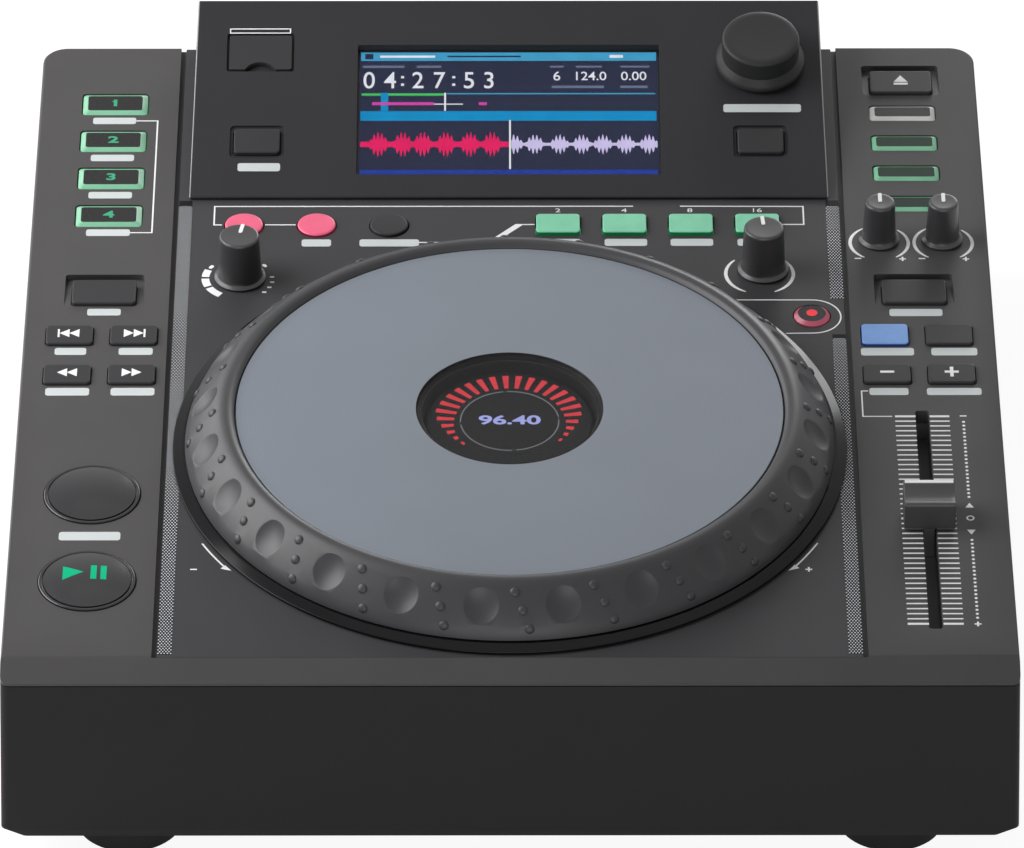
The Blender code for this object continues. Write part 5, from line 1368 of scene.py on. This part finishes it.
def make_plate_prints():
    """Prints on the centre plate: loop bracket, blank labels, knob scales, slip outline, direction arrows."""
    level = PLATE_LEVEL
    marks = [drawn(points, 0.5, level) for points in (
        [(-92.0, 223.6), (-94.55, 223.6), (-94.55, 233.8), (39.9, 233.8)],
        [(55.0, 233.8), (94.5, 233.6), (94.5, 223.65), (87.6, 223.65)],
        [(-78.2, 223.6), (-68.4, 223.6)],
        [(-28.8, 213.85), (-7.0, 213.85)],
        [(4.6, 223.7), (8.2, 223.7)])]
    marks.append(filled(((-7.3, 213.6), (-4.6, 213.6), (4.8, 223.95), (2.1, 223.95)), level))
    marks += labels(level, (-61.6, 213.6, 9.4, 3.85), (-38.3, 213.6, 19.0, 3.85),
                    *((x, 213.8, 13.6, 3.85) for x in (16.05, 37.35, 58.45, 79.85)))
    marks += [numeral(text, x * MM, 231.4 * MM, 2.9 * MM, level, "ink", 1.3)
              for text, x in (("2", 15.7), ("4", 37.0), ("8", 58.1), ("16", 79.5))]
    x, y = -85.55, 194.5
    for start, end, width in ((142.0, 152.0, 1.3), (157.0, 177.0, 2.4), (182.0, 204.0, 2.5),
                              (209.0, 237.0, 2.5)):
        marks.append(crescent(x, y, 11.0, start, end, width, level, 1.0 if width > 2.0 else 0.5, 8))
    marks.append(crescent(x, y, 10.2, 46.0, 36.0, 1.2, level, 0.5, 6))
    marks += [block(tick_x * MM, tick_y * MM, 1.35 * MM, 0.75 * MM, level)
              for tick_x, tick_y in ((-75.4, 195.0), (-75.3, 192.2), (-76.1, 189.4), (-77.7, 186.8))]
    marks += [crescent(79.66, 196.6, 10.75, start, end, 1.15, level)
              for start, end in ((136.0, 245.0), (44.0, -65.0))]
    turn = arc_points((95.9, 173.45), 8.9, 90.0, -90.0, 20)
    marks.append(drawn([(71.8, 182.4)] + turn + [(87.2, 164.4)], 0.45, level))
    for side in (-1, 1):
        arc = [(side * px, py) for px, py in arc_points((0.0, JOG_ROW / MM), 106.0, -27.6, -35.2, 8)]
        marks.append(drawn(arc if side < 0 else arc[::-1], 0.55, level))
        head = [(side * px, py) for px, py in ((84.7, 42.1), (88.0, 43.2), (86.7, 44.9))]
        marks.append(filled(head if side > 0 else head[::-1], level))
    marks += signs(level, ((-96.2, 42.8, False), (90.9, 42.6, True)))
    printed(marks, "centre_panel_prints", "plate_finish")


SCALE_LINES = 43
SCALE_PITCH = 2.496 * MM
SCALE_TOP = 119.7 * MM


def make_panel_prints():
    """Prints on the two side panels: blank labels, brackets, knob arcs, the fader's scale."""
    left = labels(0.0, *((-128.35, y, 14.0, 3.6) for y in (281.25, 260.2, 239.3, 218.5)),
                  (-128.1, 175.2, 10.6, 3.55), (-137.9, 154.2, 9.9, 3.7), (-117.4, 154.2, 10.7, 3.7),
                  (-138.1, 132.9, 13.7, 4.0), (-117.7, 132.9, 13.7, 4.0), (-128.4, 58.7, 18.8, 4.2))
    left.append(drawn([(-121.3, 281.25), (-114.3, 281.25), (-114.3, 218.5), (-121.3, 218.5)], 0.5, 0.0))
    printed(left, "left_panel_prints", "deck_plastic")
    right = labels(0.0, (128.55, 174.7, 16.75, 3.8), (118.8, 153.75, 16.65, 4.0), (139.8, 153.75, 14.45, 4.0),
                   (118.5, 132.7, 12.2, 3.7), (138.9, 132.7, 17.05, 3.7))
    for x in (118.25, 138.7):
        right += [crescent(x, 212.55, 9.3, start, end, 1.1, 0.0)
                  for start, end in ((122.0, 238.0), (50.0, -57.0))]
    right += signs(0.0, ((111.2, 204.1, False), (125.4, 203.8, True), (131.6, 204.0, False),
                         (145.6, 203.75, True)))
    right.append(drawn([(112.0, 133.0), (109.95, 133.0), (109.95, 119.7), (119.0, 119.7)], 0.45, 0.0))
    for low, high in ((119.9, 126.3), (130.7, 136.8)):
        centre, width = (low + high) / 2 * MM, (high - low) * MM
        right.append(repeated(block(centre, SCALE_TOP, width, 0.6 * MM, 0.0), SCALE_LINES, 0.0, -SCALE_PITCH))
        right += [block(centre, SCALE_TOP - end * SCALE_PITCH, width, 0.95 * MM, 0.0, rise=MARK * 1.5)
                  for end in (0, (SCALE_LINES - 1) / 2, SCALE_LINES - 1)]
    x = 141.1
    for first in (116.8, 56.45):
        dot = painted(drum(x * MM, first * MM, 0.5 * MM, -SINK, MARK, 10), "ink")
        right.append(repeated(dot, 21, 0.0, -1.93 * MM))
    right += signs(0.0, ((x, 119.9, False), (x, 14.8, True)))
    for y, side in ((73.9, 1), (60.5, -1)):
        points = [(x - 1.3, y - side * 1.1), (x + 1.3, y - side * 1.1), (x, y + side * 1.3)]
        right.append(filled(points if side > 0 else points[::-1], 0.0))
    ring = lathe([(0.75 * MM, -SINK), (1.3 * MM, -SINK), (1.3 * MM, MARK), (0.75 * MM, MARK)], 24,
                 (x * MM, 67.5 * MM))
    right.append(painted(ring, "ink"))
    printed(right, "right_panel_prints", "deck_plastic")


def make_hood_prints():
    """Prints on the hood: an outlined bar over the flap and two blank labels."""
    low, high = Vector((-91.2, 74.3)), Vector((-71.2, 76.2))
    width = 0.4
    half = width / 2
    marks = [drawn([(low.x, y), (high.x, y)], width, 0.0) for y in (low.y, high.y)]
    marks += [drawn([(x, low.y + half), (x, high.y - half)], width, 0.0)
              for x in (low.x + half, high.x - half)]
    marks += labels(0.0, (-80.7, 13.3, 13.7, 3.6), (82.3, 39.8, 25.2, 3.6))
    printed(marks, "hood_prints", "hood_plastic", HOOD)


KNOT_PITCH = 0.95 * MM
KNOT_ROW = 0.82 * MM
KNOT_RADIUS = 0.25 * MM
STRIP = (101.8 * MM, 106.0 * MM)


def make_mesh_strip(name, side, start, end):
    """Narrow strip of fine mesh beside the centre plate: rows of light knots on a dark band of painted shade.
    """
    inner, outer = sorted(side * edge for edge in STRIP)
    band = box((inner, start, PLATE_LEVEL - SINK), (outer, end, PLATE_LEVEL + 0.5 * MARK))
    # Painted shade: the dark band stands for the shade in the recess behind the mesh.
    painted(band, "mesh_ground")
    rows = []
    for count, shift in ((5, 0.0), (4, 0.5)):
        x = inner + (0.21 + shift) * KNOT_PITCH
        y = start + (0.6 + 2.0 * shift) * KNOT_ROW
        knot = drum(x, y, KNOT_RADIUS, PLATE_LEVEL, PLATE_LEVEL + 2.0 * MARK, 6)
        rows.append(repeated(painted(knot, "mesh_knot"), count, KNOT_PITCH, 0.0))
    count = int((end - start) / (2 * KNOT_ROW)) - 1
    knots = repeated(joined(rows), count, 0.0, 2 * KNOT_ROW)
    printed([band, knots], name, "plate_finish")


def make_mesh_strips():
    """The right strip is broken where the slip key's outline crosses it."""
    for name, side, start, end in (("left_mesh_strip", -1, 1.0, 237.0),
                                   ("right_mesh_strip_front", 1, 1.0, 163.9),
                                   ("right_mesh_strip_rear", 1, 182.9, 237.0)):
        make_mesh_strip(name, side, start * MM, end * MM)


WAVE_STEP = 0.3     # in millimetres, as the picture's places


def wave_outline(left, right, centre, base, peaks, height):
    """Returns the outline of a sound picture: a thin band with spiky swellings at the peaks."""
    upper, lower = [], []
    count = round((right - left) / WAVE_STEP)
    for i in range(count + 1):
        x = left + (right - left) * i / count
        near = min(abs(x - peak) for peak in peaks)
        swell = max(0.0, 1.0 - (near / 3.0) ** 2)
        ripple = 0.62 + 0.38 * math.sin(5.0 * x)
        half = base * (0.75 + 0.25 * ripple) + height * swell * ripple
        upper.append((x * MM, (centre + half) * MM))
        lower.append((x * MM, (centre - half) * MM))
    return lower + upper[::-1]


def make_screen_picture(level):
    """Makes a generic picture of a playing track: header, clock, numbers, overview and sound wave."""
    layer = 0.04 * MM

    def area(left, right, bottom, top, look, depth):
        corners = [(left * MM, bottom * MM, level - SINK), (right * MM, top * MM, level + depth * layer)]
        return painted(box(*corners), "screen_" + look)

    def digits(text, x, y, height, stretch):
        return numeral(text, x * MM, y * MM, height * MM, level + layer, "screen_white", stretch, 0.004)

    parts = [area(-48.55, 48.55, 11.4, 68.3, "ground", 1)]
    for left, right, bottom, top, look, depth in (
            (-48.2, 48.2, 64.3, 68.1, "header", 2), (-46.9, -44.2, 65.0, 67.4, "ground", 3),
            (-42.0, -24.0, 65.7, 66.7, "white", 3), (-20.0, 4.0, 65.9, 66.6, "ground", 3),
            (33.0, 37.4, 65.6, 66.9, "white", 3), (-47.6, -34.0, 61.1, 62.1, "dim", 2),
            (-30.0, -22.0, 61.1, 62.1, "dim", 2), (13.5, 18.0, 61.2, 62.0, "dim", 2),
            (22.0, 30.5, 61.2, 62.0, "dim", 2), (36.5, 46.0, 61.2, 62.0, "dim", 2),
            (14.0, 31.0, 51.8, 52.9, "dim", 2), (36.4, 45.3, 51.8, 52.9, "dim", 2),
            (-47.9, -20.7, 48.4, 49.4, "green", 2), (-20.1, 47.7, 49.0, 49.5, "header", 2),
            (-21.0, -20.4, 41.5, 49.6, "white", 4), (-41.6, -39.2, 41.5, 49.6, "bar", 3),
            (-44.4, -24.3, 44.1, 45.3, "magenta", 4), (-24.3, -14.9, 44.3, 44.7, "white", 3),
            (-9.7, -7.1, 44.1, 45.3, "magenta", 3), (-48.2, 48.0, 37.0, 41.3, "bar", 2),
            (0.1, 0.7, 15.2, 37.2, "white", 4), (-48.2, 48.2, 11.6, 14.8, "deep", 2)):
        parts.append(area(left, right, bottom, top, look, depth))
    for text, x in (("0", -45.5), ("4", -38.6), ("2", -29.6), ("7", -22.7), ("5", -12.9), ("3", -6.4)):
        parts.append(digits(text, x, 55.0, 10.6, 0.78))
    for x in (-34.6, -17.9):
        parts += [area(x - 0.5, x + 0.5, y - 0.5, y + 0.5, "white", 2) for y in (53.4, 56.8)]
    parts += [digits(text, x, 57.1, size, 0.9) for text, x, size in (
        ("6", 15.7, 5.8), ("124.0", 26.5, 5.5), ("0.00", 40.8, 5.5))]
    parts.append(flat(wave_outline(-48.2, 0.0, 26.3, 1.3, (-42.2, -34.4, -27.9, -20.4, -12.6, -5.5), 4.6),
                      level, "screen_red", 2 * layer))
    parts.append(flat(wave_outline(0.8, 48.2, 26.3, 0.7, (1.6, 8.4, 16.5, 23.7, 30.5, 37.9, 45.4), 4.0),
                      level, "screen_lilac", 2 * layer))
    printed(parts, "screen_picture", "screen_module", HOOD)


def make_base_screws():
    """Six countersunk cross-head screws in the underside of the case."""
    low = Vector(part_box("base_shell")[0])
    radius, rise = 3.4 * MM, 0.5 * MM
    profile = [(0.0, low.z + 0.3 * MM), (radius, low.z + 0.3 * MM), (radius, low.z),
               (radius * 0.8, low.z - rise * 0.8), (radius * 0.5, low.z - rise), (0.0, low.z - rise)]
    screw = lathe(profile, 32, name="base_screw")
    slim, long = 0.35 * MM, 1.7 * MM
    for x, y in ((slim, long), (long, slim)):
        combined(screw, box((-x, -y, low.z - MM), (x, y, low.z + 0.1 * MM)))
    painted(screw, "steel")
    places = [(x * MM, y * MM) for x in (-118.0, 0.0, 118.0) for y in (-136.0, 126.0)]
    screws = [copied(screw, Matrix.Translation((x, y, 0.0))) for x, y in places]
    bpy.data.objects.remove(screw)
    fitted(joined(screws, "base_screws"), WORLD, CASE, "bright_metal")


# Camera: fitted to the photograph
FOCAL_PIXELS = 8822.0
PICTURE_WIDTH = 1024.0
SENSOR = 36.0
CAMERA_AWAY = 2741.0 * MM
CAMERA_PITCH = math.radians(36.69)
CAMERA_YAW = math.radians(0.13)
CAMERA_ROLL = math.radians(0.035)
CAMERA_TARGET = Vector((0.76, 115.9, 0.0)) * MM


def make_camera():
    """The camera that took the photograph."""
    data = bpy.data.cameras.new("camera")
    data.sensor_width = SENSOR
    data.sensor_fit = "HORIZONTAL"
    data.lens = FOCAL_PIXELS / PICTURE_WIDTH * SENSOR
    data.clip_end = 20.0
    camera = bpy.data.objects.new("camera", data)
    bpy.context.collection.objects.link(camera)
    turn = (Matrix.Rotation(-CAMERA_YAW, 4, "Z") @ Matrix.Rotation(math.pi / 2 - CAMERA_PITCH, 4, "X")
            @ Matrix.Rotation(CAMERA_ROLL, 4, "Z"))
    camera.matrix_world = (DECK @ Matrix.Translation(CAMERA_TARGET) @ turn
                           @ Matrix.Translation((0.0, 0.0, CAMERA_AWAY)))
    bpy.context.scene.camera = camera


def lamp(name, place, target, size, power):
    """Adds a rectangular lamp that shines towards a target."""
    data = bpy.data.lights.new(name, "AREA")
    data.shape = "RECTANGLE"
    data.size, data.size_y = size
    data.energy = power
    thing = bpy.data.objects.new(name, data)
    bpy.context.collection.objects.link(thing)
    thing.location = place
    thing.rotation_euler = (Vector(target) - Vector(place)).to_track_quat("-Z", "Y").to_euler()


def background_mask(tree):
    """Adds the mask of rays that see the background: straight, mirrored or through a clear window."""
    path = tree.nodes.new("ShaderNodeLightPath")
    mask = path.outputs["Is Camera Ray"]
    for ray in ("Is Glossy Ray", "Is Transmission Ray"):
        either = tree.nodes.new("ShaderNodeMath")
        either.operation = "MAXIMUM"
        tree.links.new(mask, either.inputs[0])
        tree.links.new(path.outputs[ray], either.inputs[1])
        mask = either.outputs[0]
    return mask


FLOOR_GLOW = 1.15                   # keeps the paper white where the camera sees it
FLOOR_GLOW_SHARE = 0.8
DIM_SURROUNDINGS = (0.08, 0.08, 0.082, 1.0)
WHITE_SURROUNDINGS = (1.0, 1.0, 1.0, 1.0)


def make_studio():
    """White paper floor, white surroundings that only straight and mirrored rays see, and five soft lamps."""
    bpy.ops.mesh.primitive_plane_add(size=8.0, location=(0.0, 0.0, 0.0))
    floor = named("floor")
    sweep = Finish("floor_paper", (0.86, 0.86, 0.86), 0.9)
    sweep.link(Base_Color=sweep.tinted(sweep.noise(0.2, 2.0), (0.85, 0.85, 0.85), (0.87, 0.87, 0.87)))
    white = sweep.tree.nodes.new("ShaderNodeEmission")
    mixed = sweep.tree.nodes.new("ShaderNodeMixShader")
    share = Value(sweep, background_mask(sweep.tree)) * FLOOR_GLOW_SHARE
    sweep.tree.links.new(share.socket, mixed.inputs[0])
    sweep.tree.links.new(sweep.shader.outputs[0], mixed.inputs[1])
    sweep.tree.links.new(white.outputs[0], mixed.inputs[2])
    sweep.tree.links.new(mixed.outputs[0], sweep.tree.nodes["Material Output"].inputs["Surface"])
    white.inputs["Strength"].default_value = FLOOR_GLOW
    floor.data.materials.append(sweep.material)
    world = bpy.data.worlds.new("studio")
    bpy.context.scene.world = world
    world.use_nodes = True
    tree = world.node_tree
    background = tree.nodes["Background"]
    mix = tree.nodes.new("ShaderNodeMix")
    mix.data_type = "RGBA"
    mix.inputs[6].default_value = DIM_SURROUNDINGS
    mix.inputs[7].default_value = WHITE_SURROUNDINGS
    tree.links.new(background_mask(tree), mix.inputs[0])
    tree.links.new(mix.outputs[2], background.inputs["Color"])
    background.inputs["Strength"].default_value = 1.0
    lamp("key_lamp", (-0.62, 0.02, 0.50), (0.0, 0.0, 0.05), (0.6, 0.6), 7.3)
    lamp("top_lamp", (0.1, 0.5, 1.6), (0.0, 0.0, 0.05), (1.2, 1.0), 1.2)
    lamp("rear_lamp", (0.42, 1.35, 0.50), (0.05, 0.1, 0.05), (0.55, 0.55), 6.0)
    lamp("left_rear_lamp", (-1.1, 0.95, 0.45), (0.0, 0.1, 0.05), (0.7, 0.6), 4.8)
    lamp("fill_lamp", (0.0, -1.9, 0.45), (0.0, 0.0, 0.05), (1.2, 0.8), 10.0)


def main():
    make_camera()
    make_studio()
    make_lower_case()
    make_upper_case()
    make_centre_panel()
    make_trim_ring()
    make_jog_ring()
    make_platter()
    make_hub()
    make_panel_keys()
    for node in ("loop_in_key", "loop_out_key"):
        make_round_key(node, "pink", "pink_lit_key", shaded_edge_look="rose_edge")
    make_round_key("reloop_key", "key", "key_plastic")
    make_round_key("slip_key", "inset", "pink_lit_key", "rose", "rose_edge")
    make_dome_keys()
    make_knobs()
    make_fader_cap()
    make_hood()
    make_flap()
    make_browse_knob()
    make_screen()
    make_feet()
    make_mesh_strips()
    make_plate_prints()
    make_panel_prints()
    make_hood_prints()
    make_base_screws()
    make_rear_sockets()
    finish_inner_nodes()
    bpy.context.scene.view_settings.view_transform = "Standard"


main()
